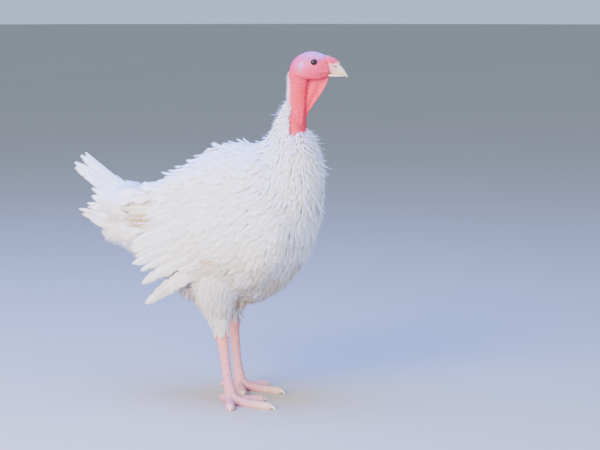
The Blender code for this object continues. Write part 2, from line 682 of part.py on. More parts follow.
# Wings: a pad of small feathers on each side, and flight feathers in tiers laid on a bell over
# the side.

BELL_WIDTH = 0.1225
BELL_CENTRE = (-0.020, 0.345)
BELL_AHEAD, BELL_BEHIND = 0.300, 0.270  # how fast it falls off towards the breast and the tail
BELL_UP, BELL_DOWN = 0.150, 0.260


def wing_surface(at):
    """Point and outward normal of the bell that carries the left wing, at side-view place (x, z)."""
    x, z = at
    length = BELL_AHEAD if x > BELL_CENTRE[0] else BELL_BEHIND
    height = BELL_UP if z > BELL_CENTRE[1] else BELL_DOWN
    dx, dz = (x - BELL_CENTRE[0]) / length, (z - BELL_CENTRE[1]) / height
    y = BELL_WIDTH * math.exp(-(dx * dx + dz * dz) / 2)
    normal = np.array([y * dx / length, 1.0, y * dz / height])
    return np.array([x, y, z]), normal / np.linalg.norm(normal)


def line(start, stop, share):
    """The point a share of the way from start to stop."""
    return np.asarray(start, float) + (np.asarray(stop, float) - np.asarray(start, float)) * share


# Each tier: how many vanes, their outline and half width, their height over the bell at root and
# tip, how far they arch up, and the curves that their roots and tips are spread on, from the
# lowest vane to the highest, in side view (x, z).
WING_TIERS = {
    "flight_feathers": dict(
        count=15, shape=BLADE, half_width=0.0155, levels=(0.0, 0.0060), bow=0.011,
        roots=((0.046, 0.312), (0.020, 0.350), (-0.010, 0.395), (-0.034, 0.444)),
        tips=((-0.164, 0.206), (-0.174, 0.250), (-0.188, 0.298), (-0.178, 0.350), (-0.138, 0.410)),
    ),
    "greater_coverts": dict(
        count=8, shape=COVERT, half_width=0.0170, levels=(0.0015, 0.0105), bow=0.006,
        roots=((0.064, 0.328), (0.034, 0.385), (0.000, 0.448)),
        tips=((-0.074, 0.262), (-0.096, 0.330), (-0.104, 0.398)),
    ),
    "median_coverts": dict(
        count=6, shape=COVERT, half_width=0.0180, levels=(0.0020, 0.0125), bow=0.004,
        roots=((0.086, 0.350), (0.060, 0.405), (0.024, 0.455)),
        tips=((-0.008, 0.300), (-0.030, 0.365), (-0.046, 0.426)),
    ),
}


def spread_on(knots, count):
    """Points at even steps of length along the smooth curve through the knots."""
    fine = smooth_curve(knots, np.linspace(0, len(knots) - 1, 200))
    length = np.concatenate([[0], np.cumsum(np.linalg.norm(np.diff(fine, axis=0), axis=1))])
    wanted = np.linspace(0, length[-1], count)
    return np.stack([np.interp(wanted, length, fine[:, k]) for k in range(2)], axis=1)


def tier_vanes(spec):
    """The vanes of one tier, spread evenly between its root line and its tip line."""
    count = spec["count"]
    roots = spread_on(spec["roots"], count)
    tips = spread_on(spec["tips"], count)
    root_steps = np.linalg.norm(np.gradient(roots, axis=0), axis=1)
    tip_steps = np.linalg.norm(np.gradient(tips, axis=0), axis=1)
    made = []
    for root, tip, root_step, tip_step in zip(roots, tips, root_steps, tip_steps):
        ahead = (tip - root) / np.linalg.norm(tip - root)
        up = np.array([-ahead[1], ahead[0]])
        up *= np.sign(up[1])

        def middle(share, root=root, tip=tip, up=up):
            return line(root, tip, share) + up * spec["bow"] * math.sin(math.pi * share)

        def across(share, up=up):
            return up

        def level(share):
            return rise_from_root(spec["levels"], share)

        def slope(share, root_step=root_step, tip_step=tip_step):
            return -SHINGLE_STEP / (root_step + (tip_step - root_step) * share)

        made.append(vane(wing_surface, middle, across, spec["half_width"], level, slope, spec["shape"]))
    return made


PAD_START, PAD_END = station("loin") - 0.15, station("crop") + 0.35
PAD_TOP, PAD_LOW = math.radians(30), math.radians(122)
PAD_THICK, PAD_THICK_LOW = 0.012, 0.014  # over the torso, and what the low rear side has more


def wing_pad():
    """The covert feathers over the arm: a slab on the torso's side that reaches the vanes' surface."""
    rings, around = 6, 24
    centre_u, centre_a = (PAD_START + PAD_END) / 2, (PAD_TOP + PAD_LOW) / 2
    reach_u, reach_a = (PAD_END - PAD_START) / 2, (PAD_LOW - PAD_TOP) / 2
    theta = np.linspace(0, 2 * math.pi, around, endpoint=False)

    def at(radius, angle, height):
        u = centre_u + reach_u * radius * math.cos(angle)
        a = centre_a + reach_a * radius * math.sin(angle)
        point = side_point(u, a, height)
        point[1] = min(point[1], wing_surface((point[0], point[2]))[0][1] - GAP)
        return point

    def thickness(radius, angle):
        low_rear = min(max(0.6 * math.sin(angle) - 0.5 * math.cos(angle), 0), 1)
        blunt, thin = (1 - radius**4) ** 0.5, 1 - radius**2
        return PAD_THICK * (thin + (blunt - thin) * low_rear) + PAD_THICK_LOW * low_rear * blunt + GAP

    radii = 1 - np.linspace(0, 1, rings, endpoint=False) ** 1.6 * 0.96
    outer = [[at(r, angle, thickness(r, angle)) for angle in theta] for r in radii]
    inner = [[at(r, angle, -SUNK) for angle in theta] for r in (0.3, 0.8)]
    top = at(0, 0, PAD_THICK)
    low = at(0, 0, -SUNK)
    return closed_rings(np.array(inner + outer), low, top)


def side_point(u, angle, height):
    """A point over the torso's left side, at a height along its normal."""
    step = 1e-3
    angles = np.array([angle - step, angle, angle + step])
    rings = body_tube(np.array([u - step, u, u + step]), angles)
    normal = np.cross(rings[2, 1] - rings[0, 1], rings[1, 2] - rings[1, 0])
    normal /= np.linalg.norm(normal)
    if normal[1] < 0 and rings[1, 1, 1] > 0.01:
        normal = -normal
    return rings[1, 1] + normal * height


def make_wing(word, neighbours):
    """One wing: its pad and the tiers of vanes rooted in it."""
    side = 1 if word == "left" else -1
    pieces = [wing_pad()]
    for spec in WING_TIERS.values():
        pieces += tier_vanes(spec)
    return node(f"wing_{word}", [mirrored(piece, side) for piece in pieces], PLUMAGE, neighbours)


# Tail: a raised fan of paired feathers over a root pad, with a tier of coverts on top.

TAIL_ROOT = np.array([-0.182, 0.0, 0.389])
TAIL_CREST = -0.12  # the place across where the fan stands highest, a little to her right
TAIL_RAISE = math.radians(35.5)  # at the crest, and less away from it on each side
TAIL_DROP_RIGHT, TAIL_DROP_LEFT, TAIL_DROP_POWER = math.radians(37), math.radians(24), 1.13
TAIL_SPREAD = math.radians(27)
TAIL_ROOT_WIDTH, TAIL_ROOT_DROP = 0.030, 0.017
TAIL_PAD_CENTRE, TAIL_PAD_RADII = (-0.212, 0.0, 0.398), (0.066, 0.060, 0.030)
TAIL_PAD_TILT = math.radians(24)
TAIL_START = 0.012  # where a tail feather leaves the root
TAIL_FEATHERS, TAIL_HALF_WIDTH = 14, 0.0175
TAIL_TOP_LEVEL = 0.0032  # of the one feather that lies on top of all
TAIL_REACH = [
    # place across and distance of the tip from the root; the worn outer feathers are shorter
    (-1.0, 0.150), (-0.93, 0.152), (-0.80, 0.130), (-0.66, 0.130), (-0.50, 0.140),
    (-0.42, 0.180), (-0.30, 0.195), (-0.15, 0.200), (0.0, 0.195), (0.15, 0.180),
    (0.35, 0.165), (0.60, 0.138), (1.0, 0.134),
]
TAIL_COVERTS, COVERT_SPREAD, COVERT_HALF_WIDTH = 7, 0.86, 0.0165
COVERT_LENGTH, COVERT_SHORTER = 0.106, 0.026  # in the middle, and how much less at the sides
COVERT_LEVELS, COVERT_TOP_LEVELS = (0.0115, 0.0065), (0.0140, 0.0090)


def tail_surface(at):
    """Point and upward normal of the tail's roof, at place across (-1 to 1) and reach from the root."""
    def point(s, r):
        drop = TAIL_DROP_LEFT if s > TAIL_CREST else TAIL_DROP_RIGHT
        raised = TAIL_RAISE - drop * abs(s - TAIL_CREST) ** TAIL_DROP_POWER
        turn = TAIL_SPREAD * s
        level, up = math.cos(raised), math.sin(raised)
        ahead = np.array([-level * math.cos(turn), level * math.sin(turn), up])
        start = TAIL_ROOT + np.array([0.0, TAIL_ROOT_WIDTH * s, -TAIL_ROOT_DROP * abs(s) ** 1.5])
        return start + ahead * r

    s, r = at
    step = 1e-3
    sideways = point(s + step, r) - point(s - step, r)
    outward = point(s, r + step) - point(s, r - step)
    normal = np.cross(sideways, outward)
    normal /= np.linalg.norm(normal)
    if normal[2] < 0:
        normal = -normal
    return point(s, r), normal


def tail_vane(place, length, half_width, levels, lean, count, shape):
    """One tail feather at a place across the fan; lean tells which edge lies under its neighbour."""
    def step_at(share):
        r = TAIL_START + length * share
        nearby = [tail_surface((place + step, r))[0] for step in (-1e-3, 1e-3)]
        return np.linalg.norm(nearby[1] - nearby[0]) / 2e-3

    def middle(share):
        return np.array([place, TAIL_START + length * share])

    def across(share):
        return np.array([1 / step_at(share), 0.0])

    def slope(share):
        spacing = step_at(share) * 2 / (count - 1)
        return lean * SHINGLE_STEP / spacing

    def rise(share):
        return rise_from_root(levels, share)

    return vane(tail_surface, middle, across, half_width, rise, slope, shape)


def make_tail(torso):
    """The fan, its coverts and its root pad as one node."""
    pieces = [ellipsoid(TAIL_PAD_CENTRE, TAIL_PAD_RADII, 16, 7, turn=rotation_y(TAIL_PAD_TILT))]
    places, reaches = zip(*TAIL_REACH)
    for i, place in enumerate(np.linspace(-1, 1, TAIL_FEATHERS)):
        top = i == TAIL_FEATHERS // 2
        lean = 0.0 if top else math.copysign(1.0, place)
        length = np.interp(place, places, reaches) - TAIL_START
        levels = (TAIL_TOP_LEVEL,) * 2 if top else (0.0, 0.0)
        pieces.append(tail_vane(place, length, TAIL_HALF_WIDTH, levels, lean, TAIL_FEATHERS, BLADE))
    for i, place in enumerate(np.linspace(-COVERT_SPREAD, COVERT_SPREAD, TAIL_COVERTS)):
        top = i == TAIL_COVERTS // 2
        lean = 0.0 if top else math.copysign(1.0, place)
        length = COVERT_LENGTH - COVERT_SHORTER * abs(place)
        levels = COVERT_TOP_LEVELS if top else COVERT_LEVELS
        count = TAIL_COVERTS / COVERT_SPREAD
        pieces.append(tail_vane(place, length, COVERT_HALF_WIDTH, levels, lean, count, COVERT))
    return node("tail", pieces, PLUMAGE, [torso])


def rotation_y(angle):
    """A turn about +Y that lowers +X for a positive angle."""
    c, s = math.cos(angle), math.sin(angle)
    return np.array([[c, 0, s], [0, 1, 0], [-s, 0, c]])


def stand_on_origin(nodes):
    """Turns the head, then moves every node so that the middle of the model's foot is the origin."""
    low, high = np.full(3, np.inf), np.full(3, -np.inf)
    meshes = []
    for made in nodes:
        points, _ = arrays_of(made)
        points = turn_head(points)
        meshes.append(points)
        low, high = np.minimum(low, points.min(axis=0)), np.maximum(high, points.max(axis=0))
    shift = np.array([(low[0] + high[0]) / 2, (low[1] + high[1]) / 2, low[2]])
    for made, points in zip(nodes, meshes):
        made.data.vertices.foreach_set("co", (points - shift).astype(np.float32).ravel())
        made.data.update()
        made.data.shade_smooth()
        made.data.set_sharp_from_angle(angle=math.radians(40))


for leftover in list(bpy.data.objects):
    bpy.data.objects.remove(leftover)

torso = make_body()
hackles, bare_neck = make_neck()
head, eyes = make_head()
upper_bill, lower_bill = make_bill()
snood = make_snood([head, upper_bill])
dewlap = make_dewlap([head, bare_neck, lower_bill, hackles])
right_leg, left_leg = make_leg("right", torso), make_leg("left", torso)
wings = [make_wing("right", [torso, right_leg[0]]), make_wing("left", [torso, left_leg[0]])]
tail = make_tail(torso)
face = [head, *eyes, upper_bill, lower_bill, snood, dewlap]
stand_on_origin([torso, hackles, bare_neck, *face, *right_leg, *left_leg, *wings, tail])
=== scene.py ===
"""The looks of a white domestic turkey hen at life size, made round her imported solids.

She faces +X, her left side is +Y and the floor is at z = 0. Shapes are worked out in
the body's own measures, where the tail's root and the throat lie near x = 0, and
to_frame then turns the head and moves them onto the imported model.
"""

import math

import bpy
import numpy as np
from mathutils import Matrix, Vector


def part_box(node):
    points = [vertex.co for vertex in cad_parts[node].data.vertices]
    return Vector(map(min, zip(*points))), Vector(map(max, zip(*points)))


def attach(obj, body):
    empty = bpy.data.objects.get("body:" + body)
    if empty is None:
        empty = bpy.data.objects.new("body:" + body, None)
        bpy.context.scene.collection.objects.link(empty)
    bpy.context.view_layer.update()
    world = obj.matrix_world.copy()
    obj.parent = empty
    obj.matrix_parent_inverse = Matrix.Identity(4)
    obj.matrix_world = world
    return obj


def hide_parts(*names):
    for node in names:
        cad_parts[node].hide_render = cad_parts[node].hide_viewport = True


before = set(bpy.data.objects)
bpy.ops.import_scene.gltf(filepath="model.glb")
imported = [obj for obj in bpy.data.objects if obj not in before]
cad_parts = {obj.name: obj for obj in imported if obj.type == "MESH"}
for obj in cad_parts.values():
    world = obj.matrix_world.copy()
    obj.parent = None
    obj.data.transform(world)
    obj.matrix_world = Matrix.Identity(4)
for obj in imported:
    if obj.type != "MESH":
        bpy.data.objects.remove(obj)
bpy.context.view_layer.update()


# Skin of the body. The real one is thin and pale and hardly shows: it carries the feathers.
# It follows the same stations as the solids, but lies under them by the depth of the coat,
# which is deepest round the foot of the neck and nothing where the neck is bare.
STATIONS = {
    # back point (x, z), belly point (x, z), half width, depth of the coat
    "plume_end": ((-0.2925, 0.3430), (-0.2930, 0.3400), 0.004, 0.003),
    "plume_tips": ((-0.284, 0.352), (-0.288, 0.330), 0.027, 0.006),
    "undertail": ((-0.268, 0.362), (-0.274, 0.323), 0.044, 0.007),
    "vent": ((-0.248, 0.382), (-0.254, 0.316), 0.066, 0.007),
    "rump": ((-0.208, 0.408), (-0.224, 0.307), 0.088, 0.007),
    "loin": ((-0.157, 0.448), (-0.168, 0.267), 0.101, 0.006),
    "flank": ((-0.102, 0.485), (-0.093, 0.216), 0.110, 0.006),
    "back": ((-0.047, 0.517), (-0.020, 0.196), 0.115, 0.006),
    "shoulders": ((0.003, 0.529), (0.054, 0.206), 0.115, 0.006),
    "hollow": ((0.036, 0.527), (0.114, 0.250), 0.109, 0.006),
    "crop": ((0.055, 0.532), (0.152, 0.313), 0.095, 0.006),
    "breast": ((0.067, 0.541), (0.171, 0.372), 0.078, 0.006),
    "neck_base": ((0.076, 0.552), (0.180, 0.434), 0.061, 0.007),
    "hackle": ((0.083, 0.565), (0.180, 0.483), 0.0475, 0.0075),
    "ruff": ((0.090, 0.583), (0.173, 0.516), 0.037, 0.0070),
    "ruff_top": ((0.099, 0.601), (0.163, 0.540), 0.028, 0.0050),
    "feather_edge": ((0.1085, 0.618), (0.1515, 0.562), 0.0195, 0.0030),
    "bare_neck": ((0.1105, 0.637), (0.1485, 0.604), 0.0165, 0.0),
    "throat": ((0.111, 0.656), (0.149, 0.641), 0.0165, 0.0),
    "nape": ((0.1125, 0.674), (0.1535, 0.6575), 0.0190, 0.0),
    "hind_head": ((0.121, 0.699), (0.163, 0.660), 0.0215, 0.0),
    "crown": ((0.140, 0.7135), (0.171, 0.6605), 0.0225, 0.0),
    "brow": ((0.161, 0.718), (0.180, 0.662), 0.0212, 0.0),
    "lores": ((0.181, 0.7130), (0.189, 0.6648), 0.0168, 0.0),
    "bill_root": ((0.195, 0.7045), (0.1960, 0.6672), 0.0118, 0.0),
}
BELLY_FULLNESS = 0.16  # how much wider the body is below its middle than above
BODY_SQUARENESS = 0.88  # the power of the sine in each section, which 1 leaves an oval
HEAD_TURN = math.radians(10.0)  # the head looks a little to her left
TURN_LOW, TURN_HIGH, TURN_AXIS_X = 0.575, 0.660, 0.130
VENT_X = -0.291  # the rearmost point of the solid torso, which places the body in the frame
torso_low, torso_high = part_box("torso")
OFFSET = np.array([torso_low.x - VENT_X, (torso_low.y + torso_high.y) / 2, 0.0])


def station(name):
    """The place of a named station along the body, counted in stations."""
    return float(list(STATIONS).index(name))


def smooth_curve(knots, places):
    """Catmull-Rom curve: between two knots, the cubic whose slopes there join the knots beside them."""
    knots = np.asarray(knots, float)
    padded = np.concatenate([2 * knots[:1] - knots[1:2], knots, 2 * knots[-1:] - knots[-2:-1]])
    places = np.clip(np.asarray(places, float), 0, len(knots) - 1)
    low = np.minimum(places.astype(int), len(knots) - 2)
    t = (places - low)[..., None]
    a, b, c, d = (padded[low + i] for i in range(4))
    return 0.5 * (2 * b + (c - a) * t + (2 * a - 5 * b + 4 * c - d) * t**2 + (3 * b - a - 3 * c + d) * t**3)


def tube_point(u, angle):
    """Points of the body's tube at station u and an angle that is 0 on the back and pi on the belly.

    Each section runs from the back point to the belly point with the cosine of the angle, and
    out to the half width with its sine, a little squared off and fuller below the middle.
    """
    table = np.array([[*back, *belly, width] for back, belly, width, _ in STATIONS.values()])
    rows = smooth_curve(table, u)
    down = ((1 - np.cos(angle)) / 2)[..., None]
    plane = rows[..., 0:2] + (rows[..., 2:4] - rows[..., 0:2]) * down
    fullness = 1 - BELLY_FULLNESS * np.cos(angle) - BELLY_FULLNESS**2
    side = np.sign(np.sin(angle)) * np.abs(np.sin(angle)) ** BODY_SQUARENESS
    return np.stack([plane[..., 0], rows[..., 4] * side * fullness, plane[..., 1]], axis=-1)


def to_frame(points):
    """Turns what lies above the neck about an upright line and moves all onto the frame."""
    share = np.clip((points[..., 2] - TURN_LOW) / (TURN_HIGH - TURN_LOW), 0, 1)
    angle = HEAD_TURN * share * share * (3 - 2 * share)
    x, y = points[..., 0] - TURN_AXIS_X, points[..., 1]
    turned_x = TURN_AXIS_X + x * np.cos(angle) - y * np.sin(angle)
    turned_y = x * np.sin(angle) + y * np.cos(angle)
    return np.stack([turned_x, turned_y, points[..., 2]], axis=-1) + OFFSET


def unit(vectors):
    """Vectors of length one along the given ones."""
    return vectors / (np.linalg.norm(vectors, axis=-1, keepdims=True) + 1e-12)


class Surface:
    """A grid of points read as a smooth sheet or, if it is a ring, as a tube round its columns.

    A place on it is a pair of grid coordinates. What lies between grid points is read straight
    between the four around it. Its normals are the cross product of the grid's two steps.
    """

    def __init__(self, grid, ring=False, outward=None):
        down = np.gradient(grid, axis=0)
        wrapped = np.concatenate([grid[:, -1:], grid, grid[:, :1]], axis=1)
        over = (wrapped[:, 2:] - wrapped[:, :-2]) / 2 if ring else np.gradient(grid, axis=1)
        normal = unit(np.cross(down, over))
        hint = grid - grid.mean(axis=1, keepdims=True) if outward is None else np.asarray(outward, float)
        normal *= np.sign(np.sum(normal * hint))
        self.ring = ring
        self.table = np.concatenate([grid, normal, down, over], axis=-1)

    def read(self, place, channels=6):
        """Point and normal at each place, and with 12 channels the two steps of the grid there too."""
        rows, columns = self.table.shape[:2]
        p = np.clip(place[..., 0], 0, rows - 1)
        i = np.minimum(p.astype(int), rows - 2)
        q = np.mod(place[..., 1], columns) if self.ring else np.clip(place[..., 1], 0, columns - 1)
        j = np.minimum(q.astype(int), columns - 1 if self.ring else columns - 2)
        k = (j + 1) % columns
        f, g = (p - i)[..., None], (q - j)[..., None]
        table = self.table[..., :channels]
        value = (table[i, j] * (1 - f) + table[i + 1, j] * f) * (1 - g)
        value += (table[i, k] * (1 - f) + table[i + 1, k] * f) * g
        parts = [value[..., 3 * n:3 * n + 3] for n in range(channels // 3)]
        parts[1] = unit(parts[1])
        return parts

    def step_along(self, place, way):
        """The change of place that moves one metre along a direction lying in the surface."""
        down, over = self.read(place, 12)[2:]
        e, f, g = (np.sum(a * b, axis=-1) for a, b in ((down, down), (down, over), (over, over)))
        one, two = np.sum(way * down, axis=-1), np.sum(way * over, axis=-1)
        bottom = e * g - f * f + 1e-18
        return np.stack([(g * one - f * two) / bottom, (e * two - f * one) / bottom], axis=-1)


STEPS_PER_STATION, BODY_AROUND = 24, 240
body_u = np.arange(0, (len(STATIONS) - 1) * STEPS_PER_STATION + 1) / STEPS_PER_STATION
body_angle = np.arange(BODY_AROUND) * 2 * np.pi / BODY_AROUND
BODY_U, BODY_ANGLE = np.meshgrid(body_u, body_angle, indexing="ij")
body_grid = tube_point(BODY_U, BODY_ANGLE)
body = Surface(to_frame(body_grid), ring=True)


def cells(rings, around):
    """The corners of each cell between rings of points: two on its ring, then the two on the next one."""
    i, j = np.meshgrid(np.arange(rings), np.arange(around), indexing="ij")
    a, b = (i * around + j).ravel(), (i * around + (j + 1) % around).ravel()
    return a, b, a + around, b + around


def closed_tube(grid):
    """Vertices and triangles of a tube through rings of points, closed by a fan at each end."""
    rings, around = grid.shape[:2]
    points = np.concatenate([grid.reshape(-1, 3), grid[0].mean(0)[None], grid[-1].mean(0)[None]])
    a, b, c, d = cells(rings - 1, around)
    sides = np.concatenate([np.stack([a, b, d], 1), np.stack([a, d, c], 1)])
    j = np.arange(around)
    k, last = (j + 1) % around, (rings - 1) * around
    start = np.stack([k, j, np.full(around, rings * around)], 1)
    end = np.stack([last + j, last + k, np.full(around, rings * around + 1)], 1)
    return facing_out(points, np.concatenate([sides, start, end]))


def facing_out(points, faces):
    """Turns a closed body's triangles round if they enclose a negative volume."""
    corner = points[faces]
    volume = np.einsum("ij,ij->", corner[:, 0] - points.mean(0), np.cross(corner[:, 1], corner[:, 2]))
    return (points, faces[:, ::-1]) if volume < 0 else (points, faces)


def joined(shells):
    """One array of points and one of faces from several shells."""
    starts = np.cumsum([0] + [len(points) for points, _ in shells[:-1]])
    points = np.concatenate([points for points, _ in shells])
    return points, np.concatenate([faces + start for (_, faces), start in zip(shells, starts)])


def mesh_object(name, points, faces, material=None, sharp=None):
    """A mesh object with its place in its mesh, smooth but for edges sharper than an angle in degrees."""
    mesh = bpy.data.meshes.new(name)
    corners = faces.shape[1]
    mesh.vertices.add(len(points))
    mesh.vertices.foreach_set("co", np.ascontiguousarray(points, np.float32).ravel())
    mesh.loops.add(faces.size)
    mesh.loops.foreach_set("vertex_index", np.ascontiguousarray(faces, np.int32).ravel())
    mesh.polygons.add(len(faces))
    mesh.polygons.foreach_set("loop_start", np.arange(len(faces), dtype=np.int32) * corners)
    mesh.update(calc_edges=True)
    mesh.shade_smooth()
    if sharp:
        mesh.set_sharp_from_angle(angle=math.radians(sharp))
    if material:
        mesh.materials.append(material)
    made = bpy.data.objects.new(name, mesh)
    bpy.context.scene.collection.objects.link(made)
    return made


def give_values(made, name, values):
    """Stores one number, or one colour, for each vertex as a named attribute."""
    kind, field = ("FLOAT", "value") if values.ndim == 1 else ("FLOAT_COLOR", "color")
    attribute = made.data.attributes.new(name, kind, "POINT")
    attribute.data.foreach_set(field, np.ascontiguousarray(values, np.float32).ravel())


def wear(made, slot, *nodes):
    """The piece rides on the one body and stands for the solids it is named with; the slot is not used."""
    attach(made, "root")
    if nodes:
        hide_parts(*nodes)


coat_depth = np.array([depth for *_, depth in STATIONS.values()])[:, None]
body_depth = np.maximum(smooth_curve(coat_depth, BODY_U)[..., 0], 0)
body_normals = Surface(body_grid, ring=True).table[..., 3:6]
skin_grid = body_grid - body_normals * body_depth[..., None]


# Wing cape. Where the folded wing lies the skin runs out over its arm, so both the skin and the
# surface that carries the small feathers are pushed out to a bell over the side there, on which
# the flight feathers lie too.
BELL_WIDTH, BELL_CENTRE = 0.1225, (-0.020, 0.345)
BELL_AHEAD, BELL_BEHIND, BELL_UP, BELL_DOWN = 0.300, 0.270, 0.150, 0.260
CAPE_OVER_BELL, CAPE_MOST = 0.0065, 0.030  # its lift over the bell, and the most it stands off the body
CAPE_END_X, CAPE_END_SLOPE, CAPE_EDGE = -0.026, 0.62, 0.03


def bell(x, z):
    """How far out the wing lies over side-view place (x, z): a bell curve with its own fall each way."""
    length = np.where(x > BELL_CENTRE[0], BELL_AHEAD, BELL_BEHIND)
    height = np.where(z > BELL_CENTRE[1], BELL_UP, BELL_DOWN)
    away = ((x - BELL_CENTRE[0]) / length) ** 2 + ((z - BELL_CENTRE[1]) / height) ** 2
    return BELL_WIDTH * np.exp(-away / 2)


def ramp(value, start, stop):
    """0 at start, 1 at stop, and smooth between."""
    share = np.clip((value - start) / (stop - start), 0, 1)
    return share * share * (3 - 2 * share)


side_angle = np.abs(np.mod(BODY_ANGLE + np.pi, 2 * np.pi) - np.pi)
cape_share = ramp(side_angle, math.radians(18), math.radians(54))
cape_share *= ramp(side_angle, math.radians(152), math.radians(112))
cape_share *= ramp(BODY_U, station("breast") - 0.4, station("hollow") - 0.2)
out_by = bell(body_grid[..., 0], body_grid[..., 2]) + CAPE_OVER_BELL - np.abs(body_grid[..., 1])
out_by = np.clip(out_by, 0, CAPE_MOST) * cape_share
cape = Surface(to_frame(body_grid + body_normals * out_by[..., None]), ring=True)
BODY_X, BODY_Z = body_grid[..., 0], body_grid[..., 2]
CAPE_END = CAPE_END_X - CAPE_END_SLOPE * np.clip(BODY_Z - BELL_CENTRE[1], 0, None)  # its last roots behind
under_cape = out_by * ramp(BODY_X, CAPE_END - CAPE_EDGE, CAPE_END + CAPE_EDGE)
skin_grid = skin_grid + body_normals * under_cape[..., None]
body_skin = skin_grid[2:int((station("hackle") + 0.35) * STEPS_PER_STATION):4, ::3]


# Bare skin of the head and neck, with dewlap, snood and lids. On the bird this is one soft hide,
# lilac-pink on the crown and red on the throat. The shells below are melted into one skin of even
# cells, and folds, creases, the ear and fine wrinkles are then raised or sunk in it.
SKIN_CELL, SKIN_SMOOTHING = 0.00084, 3
EYE_CENTRE, EYE_RADIUS = np.array([0.1650, 0.0163, 0.6970]), 0.0076
EYE_AXIS = unit(np.array([0.18, 1.0, 0.06]))
LID_LONG, LID_HIGH, LID_THICK, LID_OUT = 0.0071, 0.0064, 0.00125, 0.0047
SOCKET_RADIUS, SOCKET_DEPTH, SOCKET_EDGE = 0.0050, 0.0016, 0.003
EAR = np.array([0.1370, 0.6870])
EAR_RIM_RADIUS, EAR_RIM_BREADTH, EAR_RIM_RISE = 0.0046, 0.0014, 0.0006
EAR_HOLE_RADIUS, EAR_HOLE_DEPTH = 0.0024, 0.0009
SNOOD_PATH = [
    (0.180, 0, 0.7060),
    (0.190, 0, 0.7052),
    (0.200, 0, 0.7022),
    (0.208, 0, 0.6985),
    (0.214, 0, 0.6950),
]
SNOOD_RADII = [0.0050, 0.0052, 0.0044, 0.0036, 0.0022]
CERE_CENTRE, CERE_RADII, CERE_TILT = (0.1965, 0.0, 0.6985), (0.0150, 0.0108, 0.0062), math.radians(27)
DEWLAP_EDGE = [(0.1960, 0.6700), (0.1840, 0.6420), (0.1640, 0.6125), (0.1530, 0.5960), (0.1490, 0.5840)]
DEWLAP_ROOT = [(0.1560, 0.6720), (0.1450, 0.6480), (0.1420, 0.6200), (0.1430, 0.6000), (0.1455, 0.5860)]
DEWLAP_THICK_ROOT, DEWLAP_THICK_EDGE = 0.0090, 0.0030
DEWLAP_PLEAT, DEWLAP_PLEATS = 0.0016, 3.0
THROAT_Z, THROAT_FADE = 0.672, 0.012  # below this height the hide is that of the neck
# Rise and size of the neck's slanting rings, of coarse and fine wrinkles, and of warts.
RING_RISE, RING_SPACING, RING_SLANT = 0.00022, 0.0052, 0.45
COARSE_RISE, COARSE_SIZE = 0.00035, 0.007
FINE_RISE, FINE_SIZE = 0.00010, 0.0031
WART_RISE, WART_SIZE = 0.00045, 0.0060


def tube_along(path, radii, rings, around, side_share=1.0):
    """Rings of a tube: circles, narrower sideways by a share, carried square to a smooth path."""
    places = np.linspace(0, len(path) - 1, rings)
    centre = smooth_curve(path, places)
    radius = smooth_curve(np.asarray(radii, float)[:, None], places)
    along = unit(np.gradient(centre, axis=0))
    front = unit(np.cross(np.array([0.0, 1.0, 0.0]), along))
    side = np.cross(along, front)
    angle = np.linspace(0, 2 * np.pi, around, endpoint=False)[None, :, None]
    spoke = front[:, None] * np.cos(angle) + side[:, None] * np.sin(angle) * side_share
    return centre[:, None] + spoke * radius[:, None]


def rounded(grid, rings=4, ends=(0, -1)):
    """Adds rings that close a tube's ends as quarter balls."""
    out = [grid]
    for end in ends:
        beside = 1 if end == 0 else -2
        centre = grid[end].mean(0)
        radius = np.linalg.norm(grid[end] - centre, axis=1).mean()
        away = unit(centre - grid[beside].mean(0))
        angle = np.linspace(0, np.pi / 2, rings + 2)[1:-1][:, None, None]
        cap = centre + (grid[end] - centre)[None] * np.cos(angle) + away * radius * np.sin(angle)
        out = [cap[::-1], *out] if end == 0 else [*out, cap]
    return np.concatenate(out)


def dewlap_grid(downs=70, across=26):
    """The throat's fold: a slab from its root line to its free edge, thinner outwards, in long pleats."""
    d = np.linspace(0, len(DEWLAP_EDGE) - 1, downs)
    edge, root = smooth_curve(DEWLAP_EDGE, d), smooth_curve(DEWLAP_ROOT, d)
    a = np.linspace(0, 1, across)
    sheet = root[:, None] + (edge - root)[:, None] * a[None, :, None]
    pleat = DEWLAP_PLEAT * np.sin(a * np.pi * DEWLAP_PLEATS + d[:, None] * 0.25) * np.sin(a * np.pi) ** 0.5
    thick = DEWLAP_THICK_ROOT + (DEWLAP_THICK_EDGE - DEWLAP_THICK_ROOT) * a**0.7
    thick = thick[None, :] * np.linspace(1, 0.55, downs)[:, None] / 2
    left = np.stack([sheet[..., 0], pleat + thick, sheet[..., 1]], axis=-1)
    right = np.stack([sheet[..., 0], pleat - thick, sheet[..., 1]], axis=-1)
    return np.concatenate([left, right[:, ::-1]], axis=1)


def eye_axes(side):
    """The way an eye looks, the level way across that, and the way up square to both."""
    axis = EYE_AXIS * (1, side, 1)
    level = unit(np.cross((0, 0, 1.0), axis))
    return axis, level, np.cross(axis, level)


def lid_ring(side, around=56, section=12):
    """The lids: a soft ring laid oval round the eye's axis, thicker above."""
    turn = np.linspace(0, 2 * np.pi, around, endpoint=False)[:, None, None]
    angle = np.linspace(0, 2 * np.pi, section, endpoint=False)[None, :, None]
    axis, level, high = eye_axes(side)
    spoke = level * np.cos(turn) * LID_LONG + high * np.sin(turn) * LID_HIGH
    thick = LID_THICK * (1 + 0.35 * np.clip(np.sin(turn), 0, 1))
    rings = EYE_CENTRE * (1, side, 1) + axis * LID_OUT + spoke
    rings = rings + unit(spoke) * thick * np.cos(angle) + axis * thick * np.sin(angle)
    a, b, c, d = (corner % (around * section) for corner in cells(around, section))
    return facing_out(rings.reshape(-1, 3), np.concatenate([np.stack([a, b, d], 1), np.stack([a, d, c], 1)]))


